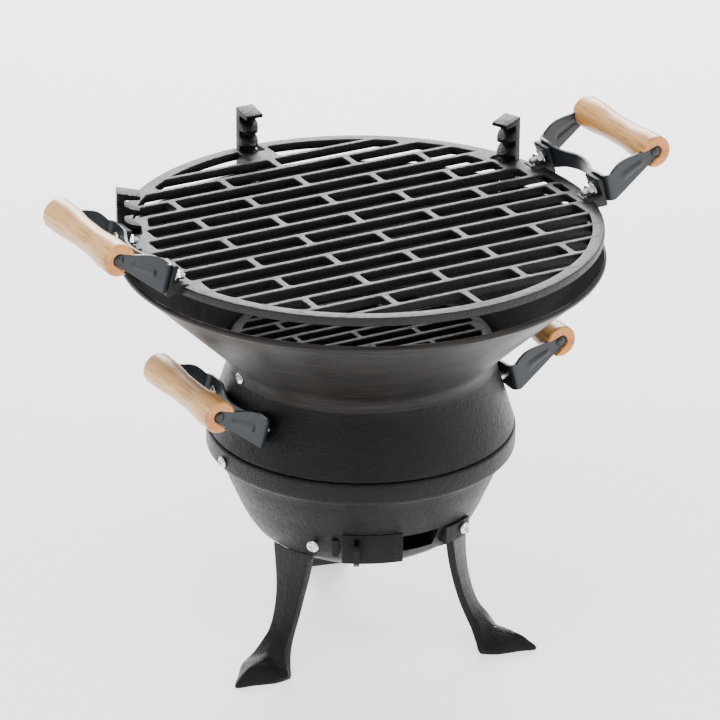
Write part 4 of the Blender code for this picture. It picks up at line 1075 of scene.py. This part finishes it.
def lean_frame(base_x, base_z, side):
    turn = Matrix.Rotation(0.0 if side > 0 else math.pi, 4, "Z")
    return turn @ Matrix.Translation((base_x, 0.0, base_z)) @ Matrix.Rotation(-math.radians(LEAN), 4, "Y")


def handles():
    bracket, rod = bracket_mesh(), rod_mesh()
    grips = {"left": grip_mesh(), "right": None}
    grips["right"] = grips["left"].copy()
    nut = hex_nut("handle_nut", NUT_BORE, NUT_ACROSS, 0.0038)
    ring = washer("handle_washer", 0.0029, 0.0060, 0.0009)
    groups = (("grate", GRATE, GRATE_LUG_X + GAP, GRATE_LUG_Z,
               LUG_THICK * math.cos(math.radians(LEAN)) + GAP),
              ("body", BASE, RING_HANDLE_X, RING_HANDLE_Z, RING_NUT_SEAT))
    for group, body, base_x, base_z, wall in groups:
        bolt = pan_bolt(f"{group}_bolt", BOLT_R, wall + STRAP + 0.0100, *BOLT_HEAD, 0.0095)
        for side, word in ((-1, "left"), (1, "right")):
            place = lean_frame(base_x, base_z, side)
            stem = f"{group}_handle_{word}"
            wood = "wood_pale" if word == "left" else "wood_amber"
            fastener(f"{stem}_strap", bracket, body, place, f"{stem}_bracket", finish="strap_steel")
            fastener(f"{stem}_wood", grips[word], body, place, f"{stem}_grip", finish=wood)
            fastener(f"{stem}_pin", rod, body, place, f"{stem}_rod", finish="rivet_steel")
            for number, across in enumerate((-BOLT_Y, BOLT_Y), 1):
                head = place @ aim((STRAP + 0.0002, across, 0.0), (1, 0, 0))
                fastener(f"{stem}_bolt_{number}_zinc", bolt, body, head, f"{stem}_bolt_{number}")
                seat = place @ aim((-wall - 0.0003, across, 0.0), (-1, 0, 0))
                fastener(f"{stem}_washer_{number}", ring, body, seat)
                seat = place @ aim((-wall - 0.0013, across, 0.0), (-1, 0, 0))
                fastener(f"{stem}_nut_{number}_zinc", nut, body, seat, f"{stem}_nut_{number}")


# ---- studio -------------------------------------------------------------------------------------------
def area_light(name, at, target, size, power, colour=(1.0, 1.0, 1.0)):
    light = bpy.data.lights.new(name, "AREA")
    light.shape = "RECTANGLE"
    light.size, light.size_y = size
    light.energy = power
    light.color = colour
    holder = bpy.data.objects.new(name, light)
    holder.location = at
    holder.rotation_euler = (Vector(target) - Vector(at)).to_track_quat("-Z", "Y").to_euler()
    bpy.context.scene.collection.objects.link(holder)


def studio():
    floor = prism("studio_floor", rounded([(-6, -6), (6, -6), (6, 6), (-6, 6)], 2.0, 8), 0.01,
                  Matrix.Translation((0, 0, -0.0052)))
    paper = Shader("paper", (0.92, 0.92, 0.92), 0.9)
    paper.set("Emission Color", (1.0, 1.0, 1.0, 1.0))
    paper.set("Emission Strength", 1.0)
    floor.data.materials.append(paper.material)
    bpy.context.scene.collection.objects.link(floor)
    world = bpy.data.worlds.new("studio")
    world.use_nodes = True
    world.node_tree.nodes["Background"].inputs["Color"].default_value = (1.0, 1.0, 1.0, 1.0)
    world.node_tree.nodes["Background"].inputs["Strength"].default_value = 1.0
    bpy.context.scene.world = world
    area_light("key", (-0.9, -0.6, 2.2), (0, 0, 0.2), (1.0, 1.0), 24.0)
    area_light("side", (1.6, -1.6, 1.1), (0, 0, 0.15), (0.5, 1.4), 16.0)
    area_light("back", (1.15, 2.1, 1.35), (0, 0, 0.3), (1.6, 0.9), 110.0)
    camera = bpy.data.cameras.new("camera")
    camera.lens = 218.934
    camera.sensor_width = 36.0
    camera.clip_start, camera.clip_end = 0.1, 50.0
    holder = bpy.data.objects.new("camera", camera)
    holder.location = (-1.44064, -2.55998, 1.52287)
    holder.rotation_euler = Euler([math.radians(a) for a in (66.0330, -0.4326, -29.1577)], "XYZ")
    bpy.context.scene.collection.objects.link(holder)
    bpy.context.scene.camera = holder


grates()
flared_bowl()
body_ring()
lower_bowl()
posts()
vent()
legs()
body_fasteners()
handles()
studio()
